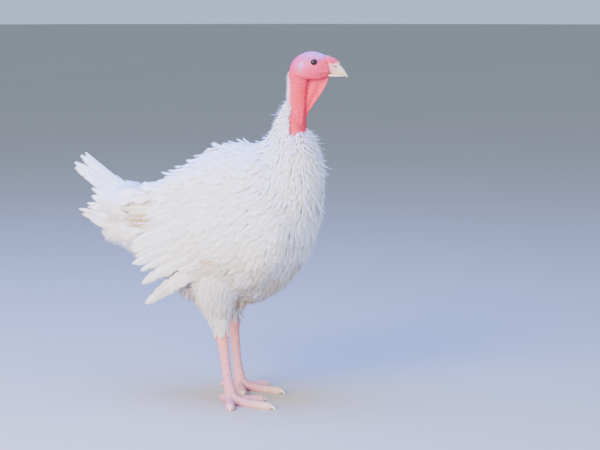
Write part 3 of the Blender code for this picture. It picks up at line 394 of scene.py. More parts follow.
def melted(shells, cell, smoothing):
    """Melts closed shells into one skin of square cells, smoothed a few times; points, quads and normals."""
    source = mesh_object("shells", *joined(shells))
    melt = source.modifiers.new("melt", "REMESH")
    melt.mode, melt.voxel_size = "VOXEL", cell
    soften = source.modifiers.new("soften", "SMOOTH")
    soften.factor, soften.iterations = 0.5, smoothing
    graph = bpy.context.evaluated_depsgraph_get()
    mesh = bpy.data.meshes.new_from_object(source.evaluated_get(graph))
    points, normals = np.empty(len(mesh.vertices) * 3), np.empty(len(mesh.vertices) * 3)
    mesh.vertices.foreach_get("co", points)
    mesh.vertices.foreach_get("normal", normals)
    faces = np.empty(len(mesh.loops), int)
    mesh.loops.foreach_get("vertex_index", faces)
    bpy.data.objects.remove(source)
    bpy.data.meshes.remove(mesh)
    return points.reshape(-1, 3), faces.reshape(-1, 4), normals.reshape(-1, 3)


def seen_from_side(points, line):
    """Distance of each point to a smooth line of (x, z) knots, seen from the side."""
    fine = smooth_curve(line, np.linspace(0, len(line) - 1, 50))
    gap = points[:, None, (0, 2)] - fine[None]
    return np.sqrt((gap**2).sum(-1).min(1))


def ripple(points, size, seed, waves=9):
    """Soft noise of a given size in metres: a sum of sine waves in seeded directions, from -1 to 1."""
    own = np.random.default_rng(seed)
    ways = unit(own.normal(size=(waves, 3))) * own.uniform(0.7, 1.5, (waves, 1)) * 2 * np.pi / size
    phase = own.uniform(0, 2 * np.pi, waves)
    return np.sin(points @ ways.T + phase).sum(-1) / math.sqrt(waves) * 0.8


neck_low = int((station("hackle") + 0.2) * STEPS_PER_STATION)
head_tube = skin_grid[neck_low::3, ::3]
snood_tube = rounded(tube_along(SNOOD_PATH, SNOOD_RADII, 40, 24, 1.1), 5)
polar, around = np.meshgrid(np.linspace(0.1, np.pi - 0.1, 30), np.arange(40) * np.pi / 20, indexing="ij")
ahead = np.array([math.cos(CERE_TILT), 0, -math.sin(CERE_TILT)])
up = np.array([math.sin(CERE_TILT), 0, math.cos(CERE_TILT)])
ball = np.stack([np.cos(polar), np.sin(polar) * np.sin(around), np.sin(polar) * np.cos(around)], axis=-1)
cere = CERE_CENTRE + (ball * CERE_RADII) @ np.stack([ahead, (0, 1, 0), up])
shells = [closed_tube(head_tube), closed_tube(snood_tube), closed_tube(cere), closed_tube(dewlap_grid())]
shells += [lid_ring(side) for side in (1, -1)]
head_points, head_faces, head_normals = melted(shells, SKIN_CELL, SKIN_SMOOTHING)

# Each fold: its line of (x, z) knots on the side of the head, its half breadth, and its rise.
FOLDS = [
    ([(0.1790, 0.6722), (0.1860, 0.6728), (0.1985, 0.6733)], 0.0008, -0.0016),
    ([(0.1660, 0.6800), (0.1740, 0.6768), (0.1850, 0.6775), (0.1975, 0.6790)], 0.0019, 0.0011),
    ([(0.1700, 0.6738), (0.1770, 0.6705), (0.1870, 0.6700)], 0.0014, 0.0006),
    ([(0.1575, 0.6885), (0.1640, 0.6855), (0.1730, 0.6860), (0.1800, 0.6890)], 0.0013, 0.0005),
    ([(0.127, 0.668), (0.140, 0.6632), (0.160, 0.6594), (0.179, 0.6597), (0.195, 0.6655)], 0.0022, -0.0019),
    ([(0.1300, 0.6740), (0.1430, 0.6690), (0.1600, 0.6650), (0.1780, 0.6650)], 0.0030, 0.0011),
    ([(0.1545, 0.6570), (0.1530, 0.6400), (0.1515, 0.6110), (0.1485, 0.5740)], 0.0016, -0.0020),
    ([(0.1470, 0.6560), (0.1462, 0.6300), (0.1450, 0.6000), (0.1430, 0.5740)], 0.0026, 0.0009),
    ([(0.1690, 0.6530), (0.1640, 0.6330), (0.1570, 0.6100)], 0.0016, -0.0007),
    ([(0.1800, 0.6560), (0.1740, 0.6380), (0.1640, 0.6190)], 0.0018, 0.0006),
    ([(0.1235, 0.6620), (0.1240, 0.6350), (0.1275, 0.5950), (0.1290, 0.5700)], 0.0015, -0.0006),
    ([(0.1330, 0.6560), (0.1345, 0.6250), (0.1370, 0.5850)], 0.0014, -0.0005),
    ([(0.1800, 0.7085), (0.1860, 0.7020), (0.1900, 0.6940), (0.1930, 0.6860)], 0.0016, 0.0006),
    ([(0.1860, 0.7060), (0.1960, 0.7020), (0.2040, 0.6990)], 0.0009, -0.0007),
]
on_side = np.clip((np.abs(head_points[:, 1]) - 0.002) / 0.004, 0, 1)
rise = np.zeros(len(head_points))
for line, breadth, height in FOLDS:
    rise += height * np.exp(-(seen_from_side(head_points, line) / breadth) ** 2) * on_side
ear_distance = np.linalg.norm(head_points[:, (0, 2)] - EAR, axis=1)
ear_rim = EAR_RIM_RISE * np.exp(-(((ear_distance - EAR_RIM_RADIUS) / EAR_RIM_BREADTH) ** 2))
ear_hole = EAR_HOLE_DEPTH * np.exp(-((ear_distance / EAR_HOLE_RADIUS) ** 2))
rise += on_side * (ear_rim - ear_hole)
neck_share = np.clip((THROAT_Z - head_points[:, 2]) / THROAT_FADE, 0, 1)
slanted = head_points[:, 2] + RING_SLANT * (head_points[:, 0] - TURN_AXIS_X)
slanted += 0.0012 * ripple(head_points, 0.016, 3)
rise += RING_RISE * np.sin(slanted * 2 * np.pi / RING_SPACING) * neck_share
rise += COARSE_RISE * ripple(head_points, COARSE_SIZE, 4) * (0.5 + 0.5 * neck_share)
rise += FINE_RISE * ripple(head_points, FINE_SIZE, 5)
rise += WART_RISE * np.clip(ripple(head_points, WART_SIZE, 6), 0, 1) ** 2
eye_gap = np.stack([head_points - EYE_CENTRE * (1, side, 1) for side in (1, -1)])
eye_along = np.stack([eye_gap[k] @ (EYE_AXIS * (1, side, 1)) for k, side in enumerate((1, -1))])
eye_across = np.sqrt(np.maximum((eye_gap**2).sum(-1) - eye_along**2, 0))
near_eye = np.where(eye_along > 0, eye_across, 1.0).min(0)
rise *= np.clip((near_eye - EYE_RADIUS) / SOCKET_EDGE, 0.0, 1)
rise -= SOCKET_DEPTH * np.exp(-((near_eye / SOCKET_RADIUS) ** 4))
head_points = head_points + head_normals * rise[:, None]

head_skin_colours = {
    # place (x, |y|, z), radius, colour, strength
    "crown": ((0.158, 0.004, 0.716), 0.024, "#B06CA8", 0.95),
    "forehead": ((0.180, 0.006, 0.714), 0.012, "#B98CC8", 0.9),
    "ear patch": ((0.138, 0.021, 0.690), 0.0100, "#BE7DB4", 0.95),
    "hind head": ((0.122, 0.012, 0.695), 0.012, "#BE4484", 0.70),
    "brow": ((0.165, 0.020, 0.708), 0.008, "#CC6C9C", 0.70),
    "lores": ((0.190, 0.014, 0.6965), 0.0095, "#DC2644", 0.95),
    "snood": ((0.203, 0.0, 0.7060), 0.009, "#EE526D", 0.90),
    "snood tip": ((0.2155, 0.0, 0.6955), 0.0045, "#F5AFAA", 0.90),
    "cheek": ((0.158, 0.020, 0.678), 0.013, "#D22E70", 0.80),
    "lip": ((0.186, 0.014, 0.677), 0.008, "#E03A54", 0.70),
    "jaw": ((0.160, 0.016, 0.661), 0.009, "#D02B3E", 0.80),
    "dewlap edge": ((0.188, 0.0, 0.645), 0.012, "#E0586E", 0.75),
    "dewlap": ((0.168, 0.004, 0.632), 0.014, "#E02850", 0.85),
    "low dewlap": ((0.156, 0.004, 0.604), 0.014, "#D81A3C", 0.90),
    "neck": ((0.134, 0.016, 0.630), 0.022, "#D21E38", 0.85),
    "low neck": ((0.138, 0.018, 0.572), 0.024, "#CE1C36", 0.85),
    "neck back": ((0.110, 0.004, 0.640), 0.013, "#DE6C84", 0.85),
    "low neck back": ((0.106, 0.004, 0.610), 0.013, "#E08598", 0.85),
}


def linear(code):
    """Red, green and blue shares in linear light from an sRGB hex value."""
    shares = np.array([int(code[k:k + 2], 16) for k in (1, 3, 5)]) / 255
    return np.where(shares <= 0.04045, shares / 12.92, ((shares + 0.055) / 1.055) ** 2.4)


def plain(code, points):
    """One colour for all points."""
    return np.tile(linear(code), (len(points), 1))


def towards(colour, code, share):
    """Colours drawn towards another one by each point's share."""
    return colour + (linear(code) - colour) * share[:, None]


def tinted_object(name, points, faces, material, tint):
    """A mesh object on the frame that stores a colour for each vertex as its tint."""
    made = mesh_object(name, to_frame(points), faces, material)
    give_values(made, "tint", np.column_stack([np.clip(tint, 0, 1), np.ones(len(tint))]))
    return made


head_colour = plain("#D02C52", head_points)
folded = head_points * (1, 0, 1) + np.abs(head_points) * (0, 1, 0)
for place, radius, code, strength in head_skin_colours.values():
    nearness = np.exp(-(((folded - np.array(place)) ** 2).sum(-1)) / radius**2)
    head_colour = towards(head_colour, code, strength * nearness)
# Painted shade: the hide's colour is darkened in sunk creases by their depth, except round the eye and the
# ear.
CREASE_DEPTH, CREASE_SHADE = 0.0016, 0.30  # the depth at which a crease is darkest, and by how much
EYE_RING, NAPE_X, NAPE_Z = 0.0090, 0.1165, 0.668
crease_shade = np.clip(-rise / CREASE_DEPTH, 0, 1) * (near_eye > EYE_RING)
crease_shade *= np.clip((ear_distance - 0.004) / 0.004, 0, 1)
head_colour *= 1 - CREASE_SHADE * crease_shade[:, None] * np.array([0.6, 1.0, 0.9])
lid_rim = np.exp(-(((near_eye - 0.0058) / 0.0011) ** 2))
lid_ring_share = np.exp(-(((near_eye - EYE_RING) / 0.0016) ** 2))
nape = np.clip((NAPE_X - head_points[:, 0]) / 0.004, 0, 1)
nape = nape * np.clip((NAPE_Z - head_points[:, 2]) / 0.01, 0, 1)
head_colour = towards(head_colour, "#3A2428", 0.55 * lid_rim)
head_colour = towards(head_colour, "#E7C9CC", 0.12 * lid_ring_share)
head_colour *= 1 + 0.07 * ripple(head_points, 0.0045, 8)[:, None]
head_colour = towards(head_colour, "#F0DDDF", 0.8 * nape)


def add_node(tree, kind, inputs=None, **settings):
    """One node with its settings; inputs gives each socket a value or the socket that feeds it."""
    node = tree.nodes.new(kind)
    for name, value in settings.items():
        setattr(node, name, value)
    for socket, value in (inputs or {}).items():
        if isinstance(value, bpy.types.NodeSocket):
            tree.links.new(value, node.inputs[socket])
        else:
            node.inputs[socket].default_value = value
    return node


def new_material(name, **shader_values):
    """A material with a Principled shader whose sockets are set by name; returns it, its tree and shader."""
    made = bpy.data.materials.new(name)
    made.use_nodes = True
    tree = made.node_tree
    shader = tree.nodes["Principled BSDF"]
    for socket, value in shader_values.items():
        shader.inputs[socket.replace("_", " ")].default_value = value
    return made, tree, shader


def uneven_tint(tree, shader, noise, least, most):
    """The shader's base colour: the stored tint times a share that follows a noise."""
    tint = add_node(tree, "ShaderNodeAttribute", attribute_name="tint")
    amount = add_node(tree, "ShaderNodeMapRange", {"Value": noise, "To Min": least, "To Max": most})
    colour = add_node(tree, "ShaderNodeMix", {0: 1.0, 6: tint.outputs["Color"], 7: amount.outputs["Result"]},
                      data_type="RGBA", blend_type="MULTIPLY")
    tree.links.new(colour.outputs[2], shader.inputs["Base Color"])


def bare_skin_material():
    """Living hide: moist and soft, so light glows a little in it; pores and fine creases break its gloss."""
    made, tree, shader = new_material(
        "bare hide", Roughness=0.56, Subsurface_Weight=0.22, Subsurface_Scale=0.003, IOR=1.42)
    shader.inputs["Subsurface Radius"].default_value = (1.0, 0.35, 0.25)
    place = add_node(tree, "ShaderNodeTexCoord").outputs["Object"]
    pores = add_node(tree, "ShaderNodeTexVoronoi", {"Vector": place, "Scale": 1 / 0.0013}, feature="F1")
    mottle = add_node(tree, "ShaderNodeTexNoise", {"Vector": place, "Scale": 1 / 0.004, "Detail": 4.0})
    uneven_tint(tree, shader, mottle.outputs["Fac"], 0.86, 1.12)
    fine = add_node(tree, "ShaderNodeBump", {"Height": pores.outputs["Distance"], "Strength": 0.22,
                                             "Distance": 0.0004})
    coarse = add_node(tree, "ShaderNodeBump", {"Height": mottle.outputs["Fac"], "Strength": 0.25,
                                               "Distance": 0.0006, "Normal": fine.outputs["Normal"]})
    tree.links.new(coarse.outputs["Normal"], shader.inputs["Normal"])
    return made


HIDE = bare_skin_material()
LEGS = {
    # side, hock x, foot x, foot y, heading of the middle toe in degrees from +X towards +Y,
    # and how far the hind toe is turned from it (outwards positive)
    "right": (-1, -0.012, 0.008, -0.076, -17.0, 216.0),
    "left": (1, -0.033, -0.019, 0.072, -14.0, 169.0),
}
HOCK_Y, HOCK_Z, ANKLE_Z = 0.070, 0.150, 0.034
DRUM_RADII = [0.058, 0.055, 0.041, 0.0275, 0.0195, 0.0152]
DRUM_DEPTH = [0.007, 0.007, 0.006, 0.005, 0.004, 0.0015]


def hock_of(word):
    """Where a leg's feathered part ends and its shank begins."""
    side, hock_x, *_ = LEGS[word]
    return np.array([hock_x, side * HOCK_Y, HOCK_Z])


def drum_grid(word, depth_share=0.0, rings=60, around=96):
    """The feathered part of a leg, under its coat by a share of the coat's depth."""
    side, hock = LEGS[word][0], hock_of(word)
    path = [
        hock + (-0.004, side * 0.004, 0.150),
        hock + (-0.006, side * 0.008, 0.110),
        hock + (-0.009, side * 0.004, 0.068),
        hock + (-0.006, 0, 0.036),
        hock + (-0.002, 0, 0.014),
        hock,
    ]
    radii = np.array(DRUM_RADII) - np.array(DRUM_DEPTH) * depth_share
    return tube_along(path, radii, rings, around, 0.80)


drum_skins = [closed_tube(drum_grid(word, 1.0, 24, 32)) for word in LEGS]
hidden_points, hidden_faces = joined([closed_tube(body_skin), *drum_skins])
head_triangles = np.concatenate([head_faces[:, (0, 1, 2)], head_faces[:, (0, 2, 3)]])
skin_points, skin_faces = joined([(head_points, head_triangles), (hidden_points, hidden_faces)])
skin_tint = np.concatenate([head_colour, plain("#F4F1EF", hidden_points)])
skin = tinted_object("skin", skin_points, skin_faces, HIDE, skin_tint)
wear(skin, "bare_skin", "head", "neck_bare", "dewlap", "snood", "torso", "neck_feathered",
     "thigh_left", "thigh_right")


# Eyes. Each is a wet ball sunk in its socket, nearly black: a wide pupil in a very dark brown
# iris under a clear cornea, whose gloss catches the lights.
def eye_material():
    """Wet cornea over a dark iris: a hard clear coat over a colour that follows the stored tint."""
    made, tree, shader = new_material(
        "wet dark eye", Roughness=0.10, IOR=1.33, Coat_Weight=0.35, Coat_Roughness=0.02)
    tint = add_node(tree, "ShaderNodeAttribute", attribute_name="tint")
    tree.links.new(tint.outputs["Color"], shader.inputs["Base Color"])
    return made


EYE = eye_material()
CORNEA_RISE, CORNEA_REACH = 0.045, 0.42  # share of the radius, and its reach from the axis in radians
PUPIL_EDGE, IRIS_EDGE = 0.36, 0.78  # radians from the axis
for side, word in ((1, "left"), (-1, "right")):
    axis, level, high = eye_axes(side)
    polar = np.linspace(0, np.pi, 50)[1:-1][:, None, None]
    around = np.linspace(0, 2 * np.pi, 64, endpoint=False)[None, :, None]
    cornea = 1 + CORNEA_RISE * np.exp(-((polar / CORNEA_REACH) ** 4))
    ball = axis * np.cos(polar) + (level * np.cos(around) + high * np.sin(around)) * np.sin(polar)
    points, faces = closed_tube(EYE_CENTRE * (1, side, 1) + ball * EYE_RADIUS * cornea)
    from_axis = np.arccos(np.clip(unit(points - EYE_CENTRE * (1, side, 1)) @ axis, -1, 1))
    iris = np.clip((from_axis - PUPIL_EDGE) / 0.06, 0, 1) * np.clip((IRIS_EDGE - from_axis) / 0.08, 0, 1)
    tint = towards(plain("#0B0808", points), "#1E120D", iris)
    wear(tinted_object(f"eye_ball_{word}", points, faces, EYE, tint), "eye", f"eye_{word}")


# Bill. Two horny sheaths over bone: the upper curves down over the lower in a blunt hook, with a
# slanting nostril on each side under a low lid, greyer above and yellower along its edge.
UPPER_BILL = [
    # culmen point (x, z), edge point (x, z), half width
    ((0.1940, 0.7032), (0.1950, 0.6742), 0.0110),
    ((0.2060, 0.6988), (0.2060, 0.6727), 0.0098),
    ((0.2150, 0.6928), (0.2150, 0.6722), 0.0084),
    ((0.2232, 0.6840), (0.2235, 0.6712), 0.0062),
    ((0.2290, 0.6748), (0.2284, 0.6688), 0.0034),
    ((0.2321, 0.6666), (0.2311, 0.6656), 0.0009),
]
LOWER_BILL = [
    ((0.1940, 0.6733), (0.1945, 0.6676), 0.0102),
    ((0.2065, 0.6729), (0.2065, 0.6672), 0.0090),
    ((0.2150, 0.6724), (0.2150, 0.6673), 0.0071),
    ((0.2235, 0.6712), (0.2240, 0.6680), 0.0037),
    ((0.2268, 0.6700), (0.2266, 0.6689), 0.0012),
]
NOSTRIL, NOSTRIL_SLANT = (0.2085, 0.6882), math.radians(-28)
NOSTRIL_LONG, NOSTRIL_HIGH, NOSTRIL_DEPTH = 0.0048, 0.0021, 0.0017
NOSTRIL_LID_LONG, NOSTRIL_LID_UP, NOSTRIL_LID_HIGH, NOSTRIL_LID_RISE = 0.0046, 0.0017, 0.0011, 0.0005
GROWTH_STEP, GROWTH_RISE = 0.0016, 0.00012  # growth lines of the horn


def bill_grid(rows, rings, around, squareness):
    """A sheath through rows of culmen point, edge point and half width; its flanks bow out by the sine."""
    table = np.array([[*top, *low, width] for top, low, width in rows])
    rows = smooth_curve(table, np.linspace(0, len(table) - 1, rings))[:, None]
    angle = np.linspace(0, 2 * np.pi, around, endpoint=False)[None]
    down = ((1 - np.cos(angle)) / 2)[..., None]
    plane = rows[..., 0:2] + (rows[..., 2:4] - rows[..., 0:2]) * down
    side = np.sign(np.sin(angle)) * np.abs(np.sin(angle)) ** squareness
    return np.stack([plane[..., 0], rows[..., 4] * side, plane[..., 1]], axis=-1)


def horn_material():
    """Keratin horn: hard and faintly waxy, with growth lines along it, so its gloss is soft and streaked."""
    made, tree, shader = new_material(
        "pale horn", Roughness=0.36, IOR=1.54, Subsurface_Weight=0.10, Subsurface_Scale=0.002)
    shader.inputs["Subsurface Radius"].default_value = (1.0, 0.8, 0.6)
    place = add_node(tree, "ShaderNodeTexCoord").outputs["Object"]
    stretched = add_node(tree, "ShaderNodeMapping", {"Vector": place, "Scale": (140, 900, 900)})
    grain = add_node(tree, "ShaderNodeTexNoise", {"Vector": stretched.outputs["Vector"],
                                                  "Scale": 1.0, "Detail": 3.0})
    uneven_tint(tree, shader, grain.outputs["Fac"], 0.90, 1.08)
    bump = add_node(tree, "ShaderNodeBump", {"Height": grain.outputs["Fac"], "Strength": 0.3,
                                             "Distance": 0.0003})
    tree.links.new(bump.outputs["Normal"], shader.inputs["Normal"])
    return made


HORN = horn_material()
for word, rows in (("upper", UPPER_BILL), ("lower", LOWER_BILL)):
    grid = bill_grid(rows, 110, 96, 0.80 if word == "upper" else 0.9)
    outward = Surface(grid, ring=True).table[..., 3:6]
    shift = grid[..., (0, 2)] - NOSTRIL
    along = shift[..., 0] * math.cos(NOSTRIL_SLANT) + shift[..., 1] * math.sin(NOSTRIL_SLANT)
    over = shift[..., 1] * math.cos(NOSTRIL_SLANT) - shift[..., 0] * math.sin(NOSTRIL_SLANT)
    slit = np.exp(-((along / NOSTRIL_LONG) ** 4) - (over / NOSTRIL_HIGH) ** 2) * (word == "upper")
    lid = np.exp(-((along / NOSTRIL_LID_LONG) ** 4) - ((over - NOSTRIL_LID_UP) / NOSTRIL_LID_HIGH) ** 2)
    lid *= word == "upper"
    growth = GROWTH_RISE * np.sin(grid[..., 0] / GROWTH_STEP * 2 * np.pi + 40 * grid[..., 2] / 0.02)
    height = NOSTRIL_LID_RISE * lid - NOSTRIL_DEPTH * slit + growth + 0.0001 * ripple(grid, 0.004, 12)
    flank = np.abs(grid[..., 1]) > 0.0015
    points, faces = closed_tube(grid + outward * (height * flank)[..., None])
    to_tip = np.clip((points[:, 0] - 0.205) / 0.024, 0, 1)
    to_edge = np.clip((0.6800 - points[:, 2]) / 0.006, 0, 1)
    root = np.clip((0.2130 - points[:, 0]) / 0.014, 0, 1) * np.clip((points[:, 2] - 0.673) / 0.004, 0, 1)
    # Painted shade: the sunk nostril slit is coloured dark, as its opening looks in shade.
    dark = np.append(slit.ravel(), (0, 0))
    tint = towards(plain("#D0B0A6", points), "#EADCB2", np.maximum(to_edge * 0.85, to_tip * 0.55))
    tint = towards(towards(tint, "#DA8894", 0.85 * root), "#6B4A48", 0.9 * dark)
    wear(tinted_object(f"{word}_bill_sheath", points, faces, HORN, tint), "horn", f"bill_{word}")


# Shanks and feet. Bare lilac-pink legs in horny scutes: a row of broad ones down the front of the
# shank and over each toe, small ones behind, and soft pads under the toes that lie on the floor.
SHANK_RADII = [0.0160, 0.0152, 0.0114, 0.0097, 0.0100, 0.0132]
SHANK_SIDE_SHARE = 0.80
TOES = {
    # spread from the middle toe in degrees (outer positive), length to the claw, claw length
    "inner": (-52.0, 0.066, 0.015),
    "middle": (0.0, 0.094, 0.018),
    "outer": (54.0, 0.060, 0.014),
    "hind": (None, 0.044, 0.013),
}
TOE_RADII = [0.0104, 0.0092, 0.0080, 0.0071, 0.0054]
TOE_HEIGHT, HIND_SLIMNESS = 0.005616, 0.82  # a toe's middle over the floor; the hind toe's share of the radii
LEG_CELL, LEG_SMOOTHING = 0.00075, 4
SHANK_SCUTE, TOE_SCUTE, SCUTE_RISE = 0.0070, 0.0048, 0.00065


def toe_path(origin, heading, length, hind):
    """Knots of a toe from the ankle out along the floor, its radii, and the heading as a vector."""
    ahead = np.array([math.cos(heading), math.sin(heading), 0.0])
    shares = np.array([0.0, 0.22, 0.48, 0.75, 1.0])
    rises = np.array([1.45, 1.0, 1.0, 0.92]) * TOE_HEIGHT
    heights = np.array([0.020 if hind else 0.019, *rises])
    knots = origin + ahead * length * shares[:, None] + np.array([[0, 0, z] for z in heights])
    radii = np.array(TOE_RADII) * (HIND_SLIMNESS if hind else 1.0)
    return knots, radii, ahead


def pads(radii, length, rings):
    """Radii at even steps of a toe, swollen a little over each of its joints."""
    share = np.linspace(0, 1, rings)
    smooth = smooth_curve(np.asarray(radii)[:, None], share * (len(radii) - 1))[:, 0]
    joints = max(2, round(length / 0.024))
    return smooth * (1 + 0.07 * np.cos(share * joints * 2 * np.pi + np.pi))


def nearest_on(points, paths):
    """For each point, the way along the nearest of several lines, that line's direction, and the way out."""
    best, way = np.full(len(points), np.inf), np.zeros(len(points))
    axis, centre = np.zeros((len(points), 3)), np.zeros((len(points), 3))
    for path in paths:
        fine = smooth_curve(path, np.linspace(0, len(path) - 1, 90))
        length = np.concatenate([[0], np.cumsum(np.linalg.norm(np.diff(fine, axis=0), axis=1))])
        direction = unit(np.gradient(fine, axis=0))
        gap = ((points[:, None] - fine[None]) ** 2).sum(-1)
        index = gap.argmin(1)
        shift = points - fine[index]
        along = np.sum(shift * direction[index], axis=1)
        distance = np.sqrt(gap.min(1))
        closer = distance < best
        best = np.where(closer, distance, best)
        way = np.where(closer, length[index] + along, way)
        axis = np.where(closer[:, None], direction[index], axis)
        centre = np.where(closer[:, None], fine[index], centre)
    return way, axis, points - centre


def scaled_skin_material():
    """Scaled leg skin: dry horn plates in thin hide, so a low broken gloss, with small scales between."""
    made, tree, shader = new_material(
        "scaled leg skin", Roughness=0.50, IOR=1.45, Subsurface_Weight=0.12, Subsurface_Scale=0.002)
    shader.inputs["Subsurface Radius"].default_value = (1.0, 0.45, 0.35)
    place = add_node(tree, "ShaderNodeTexCoord").outputs["Object"]
    scales = add_node(tree, "ShaderNodeTexVoronoi", {"Vector": place, "Scale": 1 / 0.0021}, feature="F1")
    dust = add_node(tree, "ShaderNodeTexNoise", {"Vector": place, "Scale": 1 / 0.011, "Detail": 5.0})
    uneven_tint(tree, shader, dust.outputs["Fac"], 0.84, 1.12)
    bump = add_node(tree, "ShaderNodeBump", {"Height": scales.outputs["Distance"], "Strength": 0.45,
                                             "Distance": 0.0006}, invert=True)
    tree.links.new(bump.outputs["Normal"], shader.inputs["Normal"])
    return made


LEG_SKIN = scaled_skin_material()
for word, (side, _, foot_x, foot_y, heading, hind_spread) in LEGS.items():
    hock, ankle = hock_of(word), np.array([foot_x - 0.002, foot_y, ANKLE_Z])
    origin = np.array([foot_x, foot_y, 0.0])
    down = unit(ankle - hock)
    shank_path = [hock - down * 0.012, hock + down * 0.004, hock + (ankle - hock) * 0.25,
                  hock + (ankle - hock) * 0.6, ankle - down * 0.016, origin + (0.003, 0, 0.014)]
    shells = [closed_tube(rounded(tube_along(shank_path, SHANK_RADII, 80, 36, SHANK_SIDE_SHARE)))]
    toe_paths, claw_shells = [], []
    for toe, (spread, length, claw) in TOES.items():
        angle = math.radians(heading + side * (hind_spread if toe == "hind" else spread))
        knots, radii, ahead = toe_path(origin, angle, length, toe == "hind")
        swollen = pads(radii, length, 60)
        shells.append(closed_tube(rounded(tube_along(knots, swollen[::5], 60, 28))))
        toe_paths.append(knots)
        claw_path = [
            knots[-1] - ahead * 0.003 + (0, 0, 0.0006),
            knots[-1] + ahead * claw * 0.30 + (0, 0, 0.0016),
            knots[-1] + ahead * claw * 0.68 + (0, 0, 0.0002),
            knots[-1] + ahead * claw + (0, 0, -TOE_HEIGHT * 0.92 + 0.0013),
        ]
        base = radii[-1]
        claw_radii = [base * 0.80, base * 0.68, base * 0.42, 0.0009]
        claw_grid = tube_along(claw_path, claw_radii, 44, 24, 0.86)
        claw_shells.append(closed_tube(rounded(claw_grid)))
    points, faces, normals = melted(shells, LEG_CELL, LEG_SMOOTHING)
    way, axis, spoke = nearest_on(points, [np.array(shank_path), *toe_paths])
    on_shank = np.abs(axis[:, 2]) > 0.75
    facing = np.where(on_shank, unit(spoke)[:, 0], unit(spoke)[:, 2])
    plate = np.where(on_shank, way / SHANK_SCUTE, way / TOE_SCUTE)
    step = plate - np.floor(plate)
    cover = np.clip((facing + 0.05) / 0.5, 0, 1)
    scute = (step**1.5 - 0.45) * SCUTE_RISE * cover
    points = points + normals * (scute + 0.0002 * ripple(points, 0.006, 21))[:, None]
    points[:, 2] = np.maximum(points[:, 2], 0.0)
    upward = np.clip((points[:, 2] - 0.07) / 0.06, 0, 1)
    outer = np.clip((np.linalg.norm(points[:, :2] - origin[:2], axis=1) - 0.045) / 0.05, 0, 1)
    outer *= points[:, 2] < 0.03
    tint = towards(towards(plain("#CF8E9A", points), "#DC8E86", upward), "#DCC2A5", 0.75 * outer)
    seam = np.exp(-((np.minimum(step, 1 - step) / 0.09) ** 2)) * cover
    tint *= 1 - 0.22 * seam[:, None]
    tint *= 1 + 0.05 * ripple(points, 0.012, 22)[:, None]
    leg = tinted_object(f"leg_skin_{word}", points, faces, LEG_SKIN, tint)
    wear(leg, "scaled_skin", f"shank_{word}", f"foot_{word}")
    points, faces = joined(claw_shells)
    points[:, 2] = np.maximum(points[:, 2], 0.0)
    claws = tinted_object(f"claws_{word}", points, faces, HORN, plain("#E6D9C2", points))
    wear(claws, "horn", *[f"claw_{word}_{toe}" for toe in TOES])


# Small body feathers. Each is a soft vane of barbs on a thin shaft, white with a downy root painted
# greyer as shade, and they lie over one another like tiles from neck to tail, smaller forwards, looser on the
# belly.
def feather(rows, columns, width, slant, fringe, own, camber=0.15, gather=1.5):
    """A feather in its own measures: s along it from 0 to 1, t across it from -1 to 1, lift over its plane.

    It is a flat tube: each row is a barb line, joined to the shaft further back by the slant, and
    every second row is drawn in by the fringe, so that the edge is a row of pointed barb clumps.
    Above, the columns run from one edge to the other, and below they come back along the same
    edges. The width is a function of the way along the shaft, and rows lie closer near the tip.
    """
    m = 1 - (1 - np.linspace(0, 1, rows)) ** gather
    m[1:-1] += own.uniform(-0.25, 0.25, rows - 2) * np.diff(m)[1:]
    top = np.asarray(columns, float)
    c = np.concatenate([top, top[1:-1][::-1]])[None, :]
    odd = (np.arange(rows) % 2 == 1) * 1.0
    notch = odd * own.uniform(0.5, 1.2, rows)
    dip_left, dip_right = 1 - fringe(m) * notch, 1 - fringe(m) * notch * own.uniform(0.6, 1.3, rows)
    wide = width(m) * own.uniform(0.90, 1.08, rows)
    reach = np.where(c < 0, (wide * dip_left)[:, None], (wide * dip_right)[:, None])
    t = c * np.where(np.abs(c) > 0.3, reach, wide[:, None])
    s = m[:, None] + slant * np.abs(t)
    s = s / s.max()
    wave = np.where(odd > 0, -1.0, 1.0) * own.uniform(0.5, 1.2, rows)
    lift = 0.030 * wave[:, None] * np.abs(c) - camber * c**2
    shell = np.concatenate([np.ones(len(top)), -np.ones(len(top) - 2)])[None, :] * (1 - np.abs(c))
    around = c.shape[1]
    near, near_next, far, far_next = cells(rows - 1, around)
    sides = np.stack([near, far, far_next, near_next], 1)
    k = np.arange(around // 2 - 1)
    cap = np.stack([k, k + 1, around - 2 - k, around - 1 - k], 1)
    faces = np.concatenate([sides, cap, cap[:, ::-1] + (rows - 1) * around])
    barb = m[:, None] + 0 * c
    return dict(s=s.ravel(), t=t.ravel(), lift=lift.ravel(), shell=(shell + 0 * s).ravel(),
                barb=barb.ravel(), faces=faces)


def contour_width(m):
    """Half width of a body feather: widening over its first third, then round to the tip."""
    rounding = 1 - np.clip((m - 0.45) / 0.56, 0, 1) ** 2.2
    return np.clip(m / 0.36, 0.10, 1) ** 0.8 * np.sqrt(np.clip(rounding, 0.0009, 1))


def soft_width(m):
    """Half width of a breast feather: widest just past its middle, then drawn to a blunt point."""
    return np.clip(m / 0.40, 0.12, 1) ** 0.8 * np.clip((1.03 - m) / 0.52, 0.03, 1) ** 0.62


def hackle_width(m):
    """Half width of a neck feather: widest at its middle and pointed at the tip."""
    return np.clip(m / 0.45, 0.12, 1) ** 0.8 * np.clip((1.02 - m) / 0.60, 0.02, 1) ** 0.75


BAKE_PATCH = 0.0014  # half the breadth that each feather takes on the unwrap of the skin
tone_draws = np.random.default_rng(11)


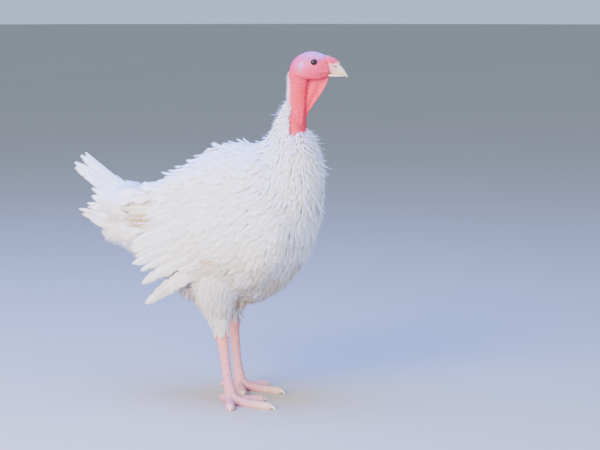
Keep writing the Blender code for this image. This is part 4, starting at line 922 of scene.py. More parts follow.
def lay_feathers(surface, paths, half_width, templates, levels, choice, thick,
                 curl=None, sway=None, lean=None):
    """Feathers laid along paths over a surface, as arrays of points, faces and values.

    A path is a line of places on the surface. A feather's vertex goes to the place at its own s
    along the path, steps sideways by t half widths, and stands off the surface by a height that
    rises fast from the first level at the root and levels out to the second at the tip, plus its
    own lift, a curl that grows with the fourth power of s, and a lean that raises one edge.
    """
    count, nodes = paths.shape[:2]
    point, normal, _, _ = surface.read(paths, 12)
    ahead = np.gradient(point, axis=1)
    side = unit(np.cross(normal, ahead))
    sideways = surface.step_along(paths, side)
    curl = np.zeros(count) if curl is None else curl
    sway = np.zeros(count) if sway is None else sway
    lean = np.zeros(count) if lean is None else lean
    points, faces, barb, tone, along, patch, start = [], [], [], [], [], [], 0
    tones = tone_draws.uniform(0, 1, count)
    for number, template in enumerate(templates):
        mine = np.flatnonzero(choice == number)
        s, t, lift, shell = (template[key][None] for key in ("s", "t", "lift", "shell"))
        k = np.minimum((s * (nodes - 1)).astype(int), nodes - 2)
        f = (s * (nodes - 1) - k)[..., None]
        line, across = paths[mine], sideways[mine]
        centre = line[:, k[0]] * (1 - f) + line[:, k[0] + 1] * f
        step = across[:, k[0]] * (1 - f) + across[:, k[0] + 1] * f
        wide = half_width[mine][:, None]
        shift = t * wide + sway[mine][:, None] * s**2
        p, n = surface.read(centre + step * shift[..., None])
        low, high = levels[0][mine][:, None], levels[1][mine][:, None]
        height = low + (high - low) * (1 - (1 - s) ** 2.5) + lift * wide + thick * shell
        height = height + curl[mine][:, None] * s**4 + lean[mine][:, None] * t * wide
        points.append((p + n * height[..., None]).reshape(-1, 3))
        vertices = s.shape[1]
        starts = start + np.arange(len(mine)) * vertices
        faces.append((template["faces"][None] + starts[:, None, None]).reshape(-1, 4))
        start += len(mine) * vertices
        barb.append((template["barb"][None] + 0 * t * wide).ravel())
        tone.append(np.repeat(tones[mine], vertices))
        along.append(np.broadcast_to(s, (len(mine), vertices)).ravel())
        rows, columns = surface.table.shape[:2]
        base = line[:, 0] / (rows, columns)
        corner = np.stack(np.broadcast_arrays(t + 0 * wide, s), -1) - (0, 0.5)
        patch.append((np.mod(base[:, None, ::-1], 1) * 0.99 + 0.005 + corner * BAKE_PATCH).reshape(-1, 2))
    join = np.concatenate
    return dict(points=join(points), faces=join(faces), barb=join(barb), tone=join(tone),
                along=join(along), bake=join(patch))


def coat_piece(name, laid, material, sharp=38):
    """One mesh of many feathers, with their values and their places on the skin's unwrap."""
    facing = laid["faces"]
    made = mesh_object(name, laid["points"], facing, material, sharp)
    for key in ("barb", "tone", "along"):
        give_values(made, key, laid[key])
    unwrap = made.data.uv_layers.new(name="OFBake")
    unwrap.data.foreach_set("uv", laid["bake"][facing.ravel()].astype(np.float32).ravel())
    return made


def scattered(surface, weight, own, rounds=4):
    """Places spread evenly over a surface, one for each unit of weight that its grid's cells hold.

    The places are first read off the running sum of the weights, row by row and back, and are
    then pushed apart a few times along the surface, in steps that shrink with the distance.
    """
    rows, columns = weight.shape
    order = np.arange(rows * columns).reshape(rows, columns)
    order[1::2] = order[1::2, ::-1]
    running = np.cumsum(weight.ravel()[order.ravel()])
    count = int(running[-1])
    cells = order.ravel()[np.searchsorted(running, np.arange(count) + 0.5)]
    places = np.stack(np.divmod(cells, columns), -1) + own.uniform(0, 1, (count, 2))
    density = np.maximum(weight.ravel()[cells], 1e-9)
    area = np.linalg.norm(np.cross(*surface.read(places, 12)[2:]), axis=-1)
    reach = np.sqrt(area / density)
    for _ in range(rounds):
        point, normal = (part.astype(np.float32) for part in surface.read(places))
        push = np.zeros((count, 3))
        for start in range(0, count, 400):
            gap = point[start:start + 400, None] - point[None]
            distance = np.sqrt((gap**2).sum(-1)) + 1e-9
            near = np.clip(1 - distance / (1.25 * reach[start:start + 400, None]), 0, 1)
            near[distance < 1e-8] = 0
            push[start:start + 400] = (gap * (near / distance)[..., None]).sum(1)
        push = push * reach[:, None] * 0.35
        push -= normal * np.sum(push * normal, axis=-1, keepdims=True)
        length = np.linalg.norm(push, axis=-1, keepdims=True)
        push *= np.minimum(1, reach[:, None] * 0.5 / (length + 1e-12))
        places = places + surface.step_along(places, push)
    return places


def cell_area(surface):
    """Area of each cell of a surface's grid, from the cross product of its two steps."""
    down, over = surface.table[..., 6:9], surface.table[..., 9:12]
    return np.linalg.norm(np.cross(down, over), axis=-1)


def flow(surface, places, length, heading, turn, nodes=8):
    """Centre lines from the places on: each step goes along the heading, laid onto the surface and turned."""
    line = [places]
    for _ in range(nodes - 1):
        point, normal, down, _ = surface.read(line[-1], 12)
        way = heading(point, normal, down)
        way = unit(way - normal * np.sum(way * normal, axis=-1, keepdims=True))
        way = way * np.cos(turn)[:, None] + np.cross(normal, way) * np.sin(turn)[:, None]
        line.append(line[-1] + surface.step_along(line[-1], way) * (length / (nodes - 1))[:, None])
    return np.stack(line, axis=1)


STAINS = [
    # centre, half sizes, colour, strength
    ((-0.174, -0.085, 0.372), (0.052, 0.075, 0.021), "#B09034", 0.9),
    ((-0.020, -0.130, 0.297), (0.026, 0.050, 0.010), "#D3A060", 0.5),
    ((-0.322, 0.000, 0.380), (0.042, 0.080, 0.024), "#B98E74", 0.6),
]
BARB_BARS = 26  # bars along a feather, about half as many as its real clumps of barbs, so that they show


def plumage_material(name, root_shade, dirt_and_shade=1.0):
    """White feather keratin: barbs by the thousand scatter the light, so it is matt and soft in its shadows.

    Dirt and painted shade tint belly and thighs cream and brown lower down, stains lie beside the tail's
    root, over the thigh and on the low blades of the tail, the roots are painted greyer as shade, and fine
    bars run along the barbs.
    """
    made, tree, shader = new_material(
        name, Roughness=0.82, Specular_IOR_Level=0.25, Sheen_Weight=0.12, Sheen_Roughness=0.5,
        Subsurface_Weight=0.45, Subsurface_Scale=0.006)
    shader.inputs["Subsurface Radius"].default_value = (1.0, 0.95, 0.9)
    place = add_node(tree, "ShaderNodeTexCoord").outputs["Object"]
    height = add_node(tree, "ShaderNodeSeparateXYZ", {"Vector": place}).outputs["Z"]
    tone, along, barb = (
        add_node(tree, "ShaderNodeAttribute", attribute_name=key).outputs["Fac"]
        for key in ("tone", "along", "barb")
    )
    bar_angle = add_node(tree, "ShaderNodeMath", {0: barb, 1: 2 * math.pi * BARB_BARS}, operation="MULTIPLY")
    bars = add_node(tree, "ShaderNodeMath", {0: bar_angle.outputs[0]}, operation="SINE").outputs[0]
    # Noise in blotches 45 mm wide, in drips that hang and in runs that slant back along the wing.
    noises = {}
    for key, turn, scale, detail in (
        ("blotch", (0, 0, 0), (1 / 0.045,) * 3, 3.0),
        ("drips", (0, 0, 0), (110, 110, 18), 2.0),
        ("runs", (0, 0.16, 0), (14, 14, 130), 2.0),
    ):
        drawn = add_node(tree, "ShaderNodeMapping", {"Vector": place, "Rotation": turn, "Scale": scale})
        noise = add_node(tree, "ShaderNodeTexNoise", {"Vector": drawn.outputs["Vector"], "Scale": 1.0,
                                                      "Detail": detail})
        noises[key] = noise.outputs["Fac"]
    spans = {
        # what is measured, where the share is 0 and where it is 1
        "varied": (tone, 0.0, 1.0),
        "low": (height, 0.345, 0.225),
        "lowest": (height, 0.300, 0.215),
        "dull": (tone, 0.0, 0.6),
        "blotched": (noises["blotch"], 0.25, 0.60),
        "dripping": (noises["drips"], 0.42, 0.62),
        "streaked": (noises["runs"], 0.32, 0.52),
        "painted root shade": (along, 0.50, 0.05),
        "barred": (bars, -1.0, 1.0),
    }
    for centre, size, code, _ in STAINS:
        shift = add_node(tree, "ShaderNodeVectorMath", {0: place, 1: tuple(np.array(centre) + OFFSET)},
                         operation="SUBTRACT")
        scaled = add_node(tree, "ShaderNodeVectorMath", {0: shift.outputs[0], 1: tuple(1 / np.array(size))},
                          operation="MULTIPLY")
        far = add_node(tree, "ShaderNodeVectorMath", {0: scaled.outputs[0]}, operation="LENGTH")
        spans[code] = (far.outputs["Value"], 1.0, 0.45)
    shares = {}
    for key, (value, start, stop) in spans.items():
        span = add_node(tree, "ShaderNodeMapRange", {"Value": value, "From Min": start, "From Max": stop})
        shares[key] = span.outputs["Result"]
    colour = (*linear("#FBFBFA"), 1)
    for keys, strength, code in (
        (("varied",), 0.5, "#F1F0F0"),
        # Cream and brown lower down, in blotches and drips: partly dirt, partly painted shade of the
        # underside.
        (("low", "blotched"), 0.9 * dirt_and_shade, "#CDB384"),
        (("lowest", "dripping", "dull"), 0.8 * dirt_and_shade, "#8C7246"),
        *[((code, "streaked"), strength, code) for _, _, code, strength in STAINS],
        # Painted shade: feathers turn greyer towards their roots, where the ones above cover them.
        (("painted root shade",), root_shade, "#D2CDC8"),
        (("barred",), 0.05, "#C9C9CC"),
    ):
        share = strength
        for key in keys:
            product = add_node(tree, "ShaderNodeMath", {0: shares[key], 1: share}, operation="MULTIPLY")
            share = product.outputs[0]
        colour = add_node(tree, "ShaderNodeMix", {0: share, 6: colour, 7: (*linear(code), 1)},
                          data_type="RGBA").outputs[2]
    tree.links.new(colour, shader.inputs["Base Color"])
    bump = add_node(tree, "ShaderNodeBump", {"Height": bars, "Strength": 0.22, "Distance": 0.0004})
    tree.links.new(bump.outputs["Normal"], shader.inputs["Normal"])
    return made


PLUMAGE = plumage_material("white contour feathers", 0.22)
SOFT_PLUMAGE = plumage_material("soft belly plumes", 0.18)
FLIGHT_PLUMAGE = plumage_material("white flight feathers", 0.10, 0.40)
feather_own = np.random.default_rng(5)
SIMPLE = (-1, 0, 1)


def some(number, rows, width, slant, fringe, camber=0.06):
    """A handful of like templates, each with its own draw of barb clumps."""
    return [feather(rows, SIMPLE, width, slant, fringe, feather_own, camber) for _ in range(number)]


CONTOURS = some(7, 13, contour_width, 0.26, lambda m: 0.18 + 0.30 * m)
SOFTS = some(7, 13, soft_width, 0.30, lambda m: 0.25 + 0.35 * m)
HACKLES = some(6, 11, hackle_width, 0.30, lambda m: 0.25 + 0.35 * m)
PLUMES = some(8, 14, soft_width, 0.32, lambda m: 0.50 + 0.28 * m)
WISPS = some(5, 6, lambda m: np.clip(1.05 - m, 0.05, 1) ** 0.7, 0.0, lambda m: 0.3 + 0 * m)


def lying(level, steep):
    """A heading field back along the body, drawn down by gravity more and more below a height."""
    def heading(point, normal, down):
        pull = np.interp(point[..., 2], [0.20, level - 0.08, level], [steep, steep, 0.0])
        return -unit(down) + np.array([0, 0, -1.0]) * pull[..., None]
    return heading


FEATHER_SIZES = {
    # distance from one to the next, length and half width
    "plume_tips": (0.0100, 0.0360, 0.0074),
    "rump": (0.0108, 0.0460, 0.0088),
    "back": (0.0108, 0.0480, 0.0086),
    "shoulders": (0.0100, 0.0430, 0.0076),
    "breast": (0.0078, 0.0340, 0.0058),
    "neck_base": (0.0062, 0.0270, 0.0044),
    "hackle": (0.0048, 0.0200, 0.0033),
    "ruff": (0.0040, 0.0155, 0.0026),
    "ruff_top": (0.0032, 0.0115, 0.0020),
    "feather_edge": (0.0025, 0.0080, 0.0013),
}
PITCH, LENGTH, HALF_WIDTH = range(3)
STRAY_SHARE = 1 / 9  # of the feathers, which stand off by themselves
COLLAR_BACK, COLLAR_LOW, COLLAR_FRONT, COLLAR_RISE = 0.1200, 0.5575, 0.150, 3.4


def feather_size(which, u):
    """A smooth value along the body, read straight between the stations of the table."""
    stations = [station(name) for name in FEATHER_SIZES]
    return np.interp(u, stations, [row[which] for row in FEATHER_SIZES.values()])


def bare(x, z):
    """Where no neck feathers grow: before an upright line behind and over a level one that rises in front."""
    return (x > COLLAR_BACK) * (z > COLLAR_LOW + COLLAR_RISE * np.clip(x - COLLAR_FRONT, 0, None))


def body_group(name, surface, inside, templates, material, seed, heading,
               longer=1.0, slim=1.0, tuft=0.0, loose=1.0, stray=0.0, hang=0.0):
    """Feathers over the cells of the body's grid that are inside, as one piece of the coat.

    Their tips lift in clumps by up to the tuft, one in nine lifts by up to the stray height as
    well, and all hang free of the surface by the height given last.
    """
    own = np.random.default_rng(seed)
    weight = cell_area(surface) / feather_size(PITCH, BODY_U) ** 2 * inside / slim
    places = scattered(surface, weight, own)
    u = places[:, 0] / STEPS_PER_STATION
    point = surface.read(places)[0]
    count = len(places)
    length = feather_size(LENGTH, u) * longer * own.uniform(0.82, 1.18, count)
    turn = 0.09 * loose * own.normal(size=count) + 0.15 * loose * ripple(point, 0.10, seed + 1)
    paths = flow(surface, places, length, heading, turn)
    depth = np.interp(u, np.arange(len(STATIONS)), coat_depth[:, 0])
    lift = np.clip(own.normal(0.4, 1.0, count), -0.6, 3.0) * 0.0004
    tufts = tuft * np.clip(ripple(point, 0.020, seed + 2) + own.normal(0, 0.6, count) - 0.5, 0, 2)
    tufts *= np.interp(u, [station("rump") + 0.2, station("flank")], [0.15, 1.0])
    strays = own.uniform(0.4, 1.0, count) * (own.uniform(0, 1, count) < STRAY_SHARE)
    tufts += stray * np.clip(u - station("rump"), 0.2, 1) * strays + hang * own.uniform(0.5, 1.2, count)
    levels = (-0.90 * depth, np.minimum(0.0010, depth * 0.3) + lift)
    width = feather_size(HALF_WIDTH, u) * slim * own.uniform(0.85, 1.15, count)
    choice = own.integers(0, len(templates), count)
    laid = lay_feathers(surface, paths, width, templates, levels, choice, 0.00025, tufts,
                        own.normal(0, 0.0016, count) * loose, own.normal(0, 0.05, count))
    wear(coat_piece(name, laid, material), "plumage")


trunk = (BODY_U <= station("shoulders") - 0.6) * (BODY_U > station("rump") - 0.3)
chest = (BODY_U <= station("neck_base") - 0.5) * (BODY_U > station("shoulders") - 0.6)
upper, front = side_angle <= math.radians(58), BODY_X > CAPE_END
neck_part = (BODY_U > station("neck_base") - 0.5) * (BODY_U < station("feather_edge") + 0.1)
neck_part = neck_part * ~bare(BODY_X, BODY_Z)
skirt = (BODY_Z < 0.275) * (BODY_X > -0.115) * (BODY_X < 0.040) * (side_angle < math.radians(168))
body_group("coat_neck", body, neck_part, HACKLES, PLUMAGE, 31, lying(0.56, 0.35),
           longer=1.15, tuft=0.0085, loose=1.5, stray=0.0120)
body_group("coat_breast", cape, chest * ~upper, SOFTS, PLUMAGE, 41, lying(0.46, 0.6),
           longer=1.2, slim=0.85, tuft=0.0018, loose=1.2, stray=0.0060)
body_group("coat_back", cape, (chest + trunk) * upper, CONTOURS, PLUMAGE, 51, lying(0.40, 0.0),
           tuft=0.0105, stray=0.0080)
body_group("coat_flank", cape, trunk * ~upper * front, SOFTS, PLUMAGE, 61, lying(0.44, 0.9),
           longer=1.2, tuft=0.0014)
body_group("coat_belly", body, trunk * ~upper * (BODY_X <= CAPE_END + CAPE_EDGE), PLUMES, SOFT_PLUMAGE, 71,
           lying(0.40, 0.9), longer=1.15, slim=0.8, tuft=0.0040, loose=1.5, stray=0.0080)
body_group("coat_skirt", body, skirt, PLUMES, SOFT_PLUMAGE, 76, lying(0.50, 4.0),
           longer=1.45, slim=0.9, tuft=0.0060, loose=1.6, hang=0.014)
body_group("coat_rear", body, BODY_U <= station("rump") - 0.3, PLUMES, SOFT_PLUMAGE, 81, lying(0.40, 0.3),
           slim=0.85, tuft=0.0030, loose=1.6, stray=0.0070)


# Loose wisps. Single barbs and thread-like feather tips that stand off the neck, the breast, the
# belly and the rear, so that the coat's edge is soft.
def wisps(name, surface, weight, seed, heading, length, thin, stand):
    """Threads rooted just under the coat's top that rise from it by a few millimetres to their tips."""
    own = np.random.default_rng(seed)
    places = scattered(surface, weight, own, 1)
    count = len(places)
    long = np.interp(own.uniform(0, 1, count), (0, 0.8, 1), (0.6, 1.1, 1.8))
    paths = flow(surface, places, length * long, heading, 0.35 * own.normal(size=count))
    levels = (np.full(count, -0.0010), np.full(count, 0.0012))
    curl = stand * long * own.uniform(0.3, 1.3, count)
    choice = own.integers(0, len(WISPS), count)
    laid = lay_feathers(surface, paths, np.full(count, thin), WISPS, levels, choice,
                        0.00012, curl, own.normal(0, 0.004, count), own.normal(0, 0.1, count))
    wear(coat_piece(name, laid, SOFT_PLUMAGE), "plumage")


NECK_WISPS, NAPE_WISPS, LOW_WISPS = 0.0046, 0.0021, 0.0094  # how far apart they stand
body_cells = cell_area(body)
low_part = (BODY_U < station("neck_base") - 0.5) * (side_angle > math.radians(95))
nape_line = (side_angle < 0.30) * (BODY_U > station("feather_edge")) * (BODY_U < station("nape") + 0.2)
for name, distance, inside, seed, heading, length, thin, stand in (
    ("wisps_neck", NECK_WISPS, neck_part, 131, lying(0.56, 0.35), 0.012, 0.00055, 0.0040),
    ("wisps_nape", NAPE_WISPS, nape_line, 151, lying(0.60, 0.2), 0.0065, 0.00045, 0.0026),
    ("wisps_low", LOW_WISPS, low_part, 141, lying(0.46, 0.8), 0.024, 0.00085, 0.0075),
):
    wisps(name, body, body_cells / distance**2 * inside, seed, heading, length, thin, stand)


# Thigh feathers. Soft loose plumes over the drumsticks, which run down to a ragged cuff at the hock
# and stand off a little in front of the left one.
THIGH_PITCH, THIGH_LENGTH, THIGH_HALF_WIDTH = (0.0078, 0.0038), (0.054, 0.020), (0.0060, 0.0024)
THIGH_TOP_Z, LAST_ROOT, DRUM_ROWS = 0.296, 0.75, 120  # the last roots stand at a share of the way to the hock
CUFF_STEP, CUFF_STEPS, CUFF_FLARE = 0.00125, 13, 5.0  # how the drumstick's surface runs on over the shank
TIP_CURL, FRONT_TUFT = 0.0030, 0.0060
THIGH_PLUMAGE = plumage_material("soft thigh plumes", 0.12, 0.30)
for number, (word, (_, _, foot_x, foot_y, *_)) in enumerate(LEGS.items()):
    own = np.random.default_rng(91 + number)
    grid = drum_grid(word, 0.0, DRUM_ROWS, 120)
    last, middle = grid[-1], grid[-1].mean(axis=0)
    down_shank = unit(np.array([foot_x, foot_y, ANKLE_Z]) - middle)
    way = (CUFF_STEP * np.arange(1, CUFF_STEPS + 1))[:, None, None]
    grid = np.concatenate([grid, last + way * down_shank + CUFF_FLARE * way * (last - middle)])
    drum = Surface(to_frame(grid), ring=True)
    share = np.broadcast_to(np.arange(len(grid))[:, None] / DRUM_ROWS, grid.shape[:2])
    pitch = THIGH_PITCH[0] + (THIGH_PITCH[1] - THIGH_PITCH[0]) * share
    weight = cell_area(drum) / pitch**2 * (share < LAST_ROOT) * (grid[..., 2] < THIGH_TOP_Z)
    places = scattered(drum, weight, own)
    at = places[:, 0] / DRUM_ROWS
    count = len(places)
    length = np.interp(at, (0, 1), THIGH_LENGTH) * own.uniform(0.70, 1.35, count)
    turn = 0.20 * own.normal(size=count)
    paths = flow(drum, places, length, lambda point, *_: np.array([-0.12, 0, -1.0]) + 0 * point, turn)
    depth = np.interp(at, np.linspace(0, 1, len(DRUM_DEPTH)), DRUM_DEPTH)
    levels = (-0.35 * depth, 0.0004 + 0.0008 * own.uniform(0, 1, count))
    ahead = np.clip(drum.read(places)[1][:, 0], 0, 1) * (at > 0.55) * (word == "left")
    curl = TIP_CURL * (1 - 0.6 * at) + FRONT_TUFT * ahead
    curl *= np.clip(own.normal(0.6 * ahead, 1, count), -0.2, 2)
    width = np.interp(at, (0, 1), THIGH_HALF_WIDTH) * own.uniform(0.8, 1.2, count)
    choice = own.integers(0, len(PLUMES), count)
    laid = lay_feathers(drum, paths, width, PLUMES, levels, choice, 0.0002,
                        curl, own.normal(0, 0.002, count), own.normal(0, 0.12, count))
    wear(coat_piece(f"coat_thigh_{word}", laid, THIGH_PLUMAGE), "plumage", f"thigh_{word}")


# Wing feathers. Stiff flight feathers fold into a fan that droops over the flank and ends in loose
# worn tips, with two tiers of coverts over their roots. Each has a shaft raised along its vane.
def blade_width(m):
    """Half width of a flight feather: quickly full, nearly even, then rounded off to its tip."""
    return np.clip(m / 0.22, 0.10, 1) ** 0.7 * np.clip((1.015 - m) / 0.40, 0.02, 1) ** 0.55


BLADE_COLUMNS = (-1, -0.66, -0.33, -0.06, 0, 0.06, 0.33, 0.66, 1)
COVERT_COLUMNS = (-1, -0.5, -0.07, 0, 0.07, 0.5, 1)


def worn(splits, fray):
    """A fringe of small nicks that grow towards the tip, with deep splits where barbs have parted."""
    def fringe(m):
        nick = 0.04 + fray * np.clip((m - 0.6) / 0.4, 0, 1) ** 2
        for place, depth in splits:
            nick = nick + depth * np.exp(-(((m - place) / 0.015) ** 2))
        return nick
    return fringe


def shafted(template, rise):
    """Raises the vane's middle column into a shaft that thins towards the tip."""
    middle = np.abs(template["t"]) < 1e-9
    template["lift"] = template["lift"] + rise * middle * (template["shell"] > 0) * (1 - 0.8 * template["s"])
    return template


SPLITS = [
    # splits of one feather: place along it and depth
    [],
    [(0.62, 0.35)],
    [(0.80, 0.45)],
    [(0.45, 0.30), (0.74, 0.40)],
    [(0.90, 0.50)],
    [(0.55, 0.40), (0.93, 0.40)],
]
BLADES, FAN_BLADES, COVERTS = (
    [shafted(feather(rows, columns, width, slant, worn(splits, fray), feather_own), rise)
     for splits in SPLITS[:kinds]]
    for rows, columns, width, slant, fray, rise, kinds in (
        (46, BLADE_COLUMNS, blade_width, 0.08, 0.22, 0.08, 6),
        (46, BLADE_COLUMNS, blade_width, 0.09, 0.55, 0.08, 6),
        (24, COVERT_COLUMNS, contour_width, 0.16, 0.25, 0.06, 4),
    )
)
FLIGHTS = [
    # share of the root line, tip (x, z) and half width, from the lowest feather up
    (0.0, -0.166, 0.203, 0.0150), (0.16, -0.171, 0.246, 0.0150), (0.25, -0.171, 0.272, 0.0130),
    (0.30, -0.180, 0.283, 0.0105), (0.34, -0.191, 0.284, 0.0115), (0.39, -0.184, 0.300, 0.0105),
    (0.44, -0.189, 0.309, 0.0120), (0.50, -0.195, 0.318, 0.0115), (0.56, -0.190, 0.332, 0.0120),
    (0.63, -0.187, 0.348, 0.0120), (0.71, -0.176, 0.360, 0.0125), (0.80, -0.168, 0.375, 0.0125),
    (0.90, -0.158, 0.390, 0.0130), (1.0, -0.140, 0.406, 0.0130),
]
FLIGHT_SHARE, FLIGHT_X, FLIGHT_Z, FLIGHT_WIDTH = np.array(FLIGHTS).T
WING_TIERS = {
    # shares of the root line, half width, levels at root and tip, bow, root line and tips (x, z)
    "flight_feathers": dict(
        shares=FLIGHT_SHARE, half_width=FLIGHT_WIDTH, levels=(0.0, 0.0045), bow=0.010, templates=BLADES,
        roots=((0.040, 0.318), (0.018, 0.352), (-0.010, 0.395), (-0.034, 0.444)),
        tips=np.stack([FLIGHT_X, FLIGHT_Z], axis=1),
    ),
    "greater_coverts": dict(
        shares=np.linspace(0, 1, 12) ** 0.9, half_width=0.0150, levels=(0.0015, 0.0060), bow=0.006,
        templates=COVERTS,
        roots=((0.056, 0.334), (0.034, 0.385), (0.000, 0.448)),
        tips=((-0.078, 0.272), (-0.100, 0.332), (-0.106, 0.402)),
    ),
    "median_coverts": dict(
        shares=np.linspace(0, 1, 12), half_width=0.0150, levels=(0.0020, 0.0070), bow=0.004,
        templates=COVERTS,
        roots=((0.080, 0.340), (0.060, 0.395), (0.024, 0.455)),
        tips=((-0.026, 0.292), (-0.052, 0.350), (-0.066, 0.424)),
    ),
}
SHINGLE_STEP = 0.0012  # the rise of one feather over the next in a tier
WING_X, WING_Z, WING_CELL = (-0.270, 0.130), (0.150, 0.500), 0.004


def wing_sheet(side):
    """The bell over one side as a surface, over a plain grid of side-view places."""
    x = np.arange(WING_X[0], WING_X[1], WING_CELL)
    z = np.arange(WING_Z[0], WING_Z[1], WING_CELL)
    x, z = np.meshgrid(x, z, indexing="ij")
    return Surface(to_frame(np.stack([x, side * bell(x, z), z], axis=-1)), outward=(0, side, 0))


def on_line(knots, shares):
    """Points at shares of the length of a smooth line."""
    fine = smooth_curve(knots, np.linspace(0, len(knots) - 1, 200))
    length = np.concatenate([[0], np.cumsum(np.linalg.norm(np.diff(fine, axis=0), axis=1))])
    return np.stack([np.interp(np.asarray(shares) * length[-1], length, fine[:, k]) for k in (0, 1)], axis=1)


def merged(parts):
    """One set of laid feathers from several."""
    starts = np.cumsum([0] + [len(part["points"]) for part in parts[:-1]])
    laid = {key: np.concatenate([part[key] for part in parts]) for key in parts[0] if key != "faces"}
    laid["faces"] = np.concatenate([part["faces"] + start for part, start in zip(parts, starts)])
    return laid


for side, word in ((1, "left"), (-1, "right")):
    own = np.random.default_rng(101)
    sheet = wing_sheet(side)
    parts = []
    for spec in WING_TIERS.values():
        count = len(spec["shares"])
        roots, tips = on_line(spec["roots"], spec["shares"]), spec["tips"]
        if len(tips) < count:
            tips = on_line(tips, spec["shares"]) + own.normal(0, 0.0040, (count, 2))
        share = np.linspace(0, 1, 14)
        up = unit(np.stack([-(tips - roots)[:, 1], (tips - roots)[:, 0]], axis=1))
        up *= np.sign(up[:, 1:])
        line = roots[:, None] + (tips - roots)[:, None] * share[None, :, None]
        line = line + up[:, None] * spec["bow"] * np.sin(np.pi * share)[None, :, None]
        paths = (line - (WING_X[0], WING_Z[0])) / WING_CELL
        spacing = np.linalg.norm(np.gradient(tips, axis=0), axis=1)
        lean = -side * SHINGLE_STEP / spacing * own.uniform(0.4, 1.5, count)
        levels = (np.full(count, spec["levels"][0]), spec["levels"][1] + own.uniform(-0.0006, 0.0010, count))
        width = spec["half_width"] * own.uniform(0.88, 1.06, count)
        choice = own.integers(0, len(spec["templates"]), count)
        parts.append(lay_feathers(sheet, paths, width, spec["templates"], levels, choice, 0.00030,
                                  own.normal(0, 0.0012, count), own.normal(0, 0.002, count), lean))
    wing = coat_piece(f"wing_feathers_{word}", merged(parts), FLIGHT_PLUMAGE)
    wear(wing, "plumage", f"wing_{word}")


# Tail. A raised fan of flight feathers, longest in the middle and worn at the tips, shorter and
# thinner to the sides, with rounded coverts over its root above and soft ones below.
TAIL_ROOT = np.array([-0.182, 0.0, 0.389])
TAIL_RAISE, TAIL_SPREAD, TAIL_CREST = math.radians(37.5), math.radians(27), -0.12
TAIL_DROP_RIGHT, TAIL_DROP_LEFT, TAIL_DROP_POWER = math.radians(37.3), math.radians(24), 1.13
TAIL_ROOT_WIDTH, TAIL_ROOT_DROP = 0.030, 0.017
TAIL_ACROSS, TAIL_OUT = 1.4, 0.26
FAN_ROWS, FAN_COLUMNS, FAN_FROM = 112, 70, -0.02  # steps of its grid across and outwards, and its start
FAN_PLACES = [
    -0.97, -0.84, -0.70, -0.56, -0.40, -0.30, -0.20, -0.08,
    0.05, 0.17, 0.29, 0.41, 0.55, 0.70, 0.84, 0.97,
]
FAN_LENGTH = [
    # place across the fan, length from its root
    (-1.0, 0.106), (-0.93, 0.110), (-0.80, 0.120), (-0.66, 0.128), (-0.50, 0.136), (-0.42, 0.184),
    (-0.25, 0.192), (0.0, 0.188), (0.15, 0.178), (0.35, 0.165), (0.45, 0.155), (0.60, 0.134), (1.0, 0.134),
]
FAN_START, FAN_HALF_WIDTH = 0.012, 0.0150
TAIL_TIERS = {
    # feathers, share of the fan's spread, start, length in the middle and at the sides, half width, level
    "coverts": (15, 0.98, 0.004, 0.104, 0.080, 0.0140, 0.0040),
    "under_coverts": (12, 0.90, 0.008, 0.095, 0.075, 0.0140, -0.0060),
}
PAD_CENTRE, PAD_TILT = np.array([-0.230, 0.0, 0.393]), math.radians(20)
PAD_LONG, PAD_WIDE, PAD_THICK = 0.068, 0.086, 0.044
PAD_PITCH, PAD_LENGTH, PAD_HALF_WIDTH, PAD_LAST_ROOT = 0.0090, 0.042, 0.0072, 2.5


def tail_sheet():
    """The fan's roof: lines from a short root bar, raised most near the middle and spread by their place."""
    s = np.linspace(-TAIL_ACROSS, TAIL_ACROSS, FAN_ROWS + 1)[:, None]
    r = np.linspace(FAN_FROM, TAIL_OUT, FAN_COLUMNS + 1)[None]
    drop = np.where(s > TAIL_CREST, TAIL_DROP_LEFT, TAIL_DROP_RIGHT)
    raised = TAIL_RAISE - drop * np.abs(s - TAIL_CREST) ** TAIL_DROP_POWER
    turn = TAIL_SPREAD * s
    x = TAIL_ROOT[0] - np.cos(raised) * np.cos(turn) * r
    y = TAIL_ROOT_WIDTH * s + np.cos(raised) * np.sin(turn) * r
    z = TAIL_ROOT[2] - TAIL_ROOT_DROP * np.abs(s) ** 1.5 + np.sin(raised) * r
    return Surface(to_frame(np.stack([x, y, z], axis=-1)), outward=(0.4, 0, 1))


def fan_tier(fan, own, place, start, length, half_width, level, templates):
    """Feathers side by side on the fan, the middle ones over the outer ones."""
    count = len(place)
    share = np.linspace(0, 1, 12)
    across = place[:, None] + own.normal(0, 0.010, count)[:, None] * share
    out = start + length[:, None] * share
    row = (across + TAIL_ACROSS) / (2 * TAIL_ACROSS) * FAN_ROWS
    column = (out - FAN_FROM) / (TAIL_OUT - FAN_FROM) * FAN_COLUMNS
    paths = np.stack([row, column], axis=-1)
    order = 0.0003 * (count / 2 - np.abs(np.arange(count) - (count - 1) / 2))
    levels = (np.full(count, level), level + order + own.uniform(0, 0.0010, count))
    lean = -np.sign(place) * 0.07 * own.uniform(0.3, 1.5, count)
    width = half_width * own.uniform(0.90, 1.08, count)
    choice = own.integers(0, len(templates), count)
    return lay_feathers(fan, paths, width, templates, levels, choice, 0.00030,
                        own.normal(0, 0.003, count), own.normal(0, 0.003, count), lean)


own = np.random.default_rng(121)
fan = tail_sheet()
place = np.array(FAN_PLACES)
length = np.interp(place, *np.array(FAN_LENGTH).T) * own.uniform(0.97, 1.02, len(place)) - FAN_START
slim = np.where(np.abs(place) > 0.75, 0.62, 1.0)
parts = [fan_tier(fan, own, place, FAN_START, length, FAN_HALF_WIDTH * slim, 0.0, FAN_BLADES)]
for count, spread, start, long, short, half_width, level in TAIL_TIERS.values():
    place = np.linspace(-spread, spread, count)
    length = (long + (short - long) * np.abs(place)) * own.uniform(0.93, 1.05, count)
    parts.append(fan_tier(fan, own, place, start, length, np.full(count, half_width), level, COVERTS))

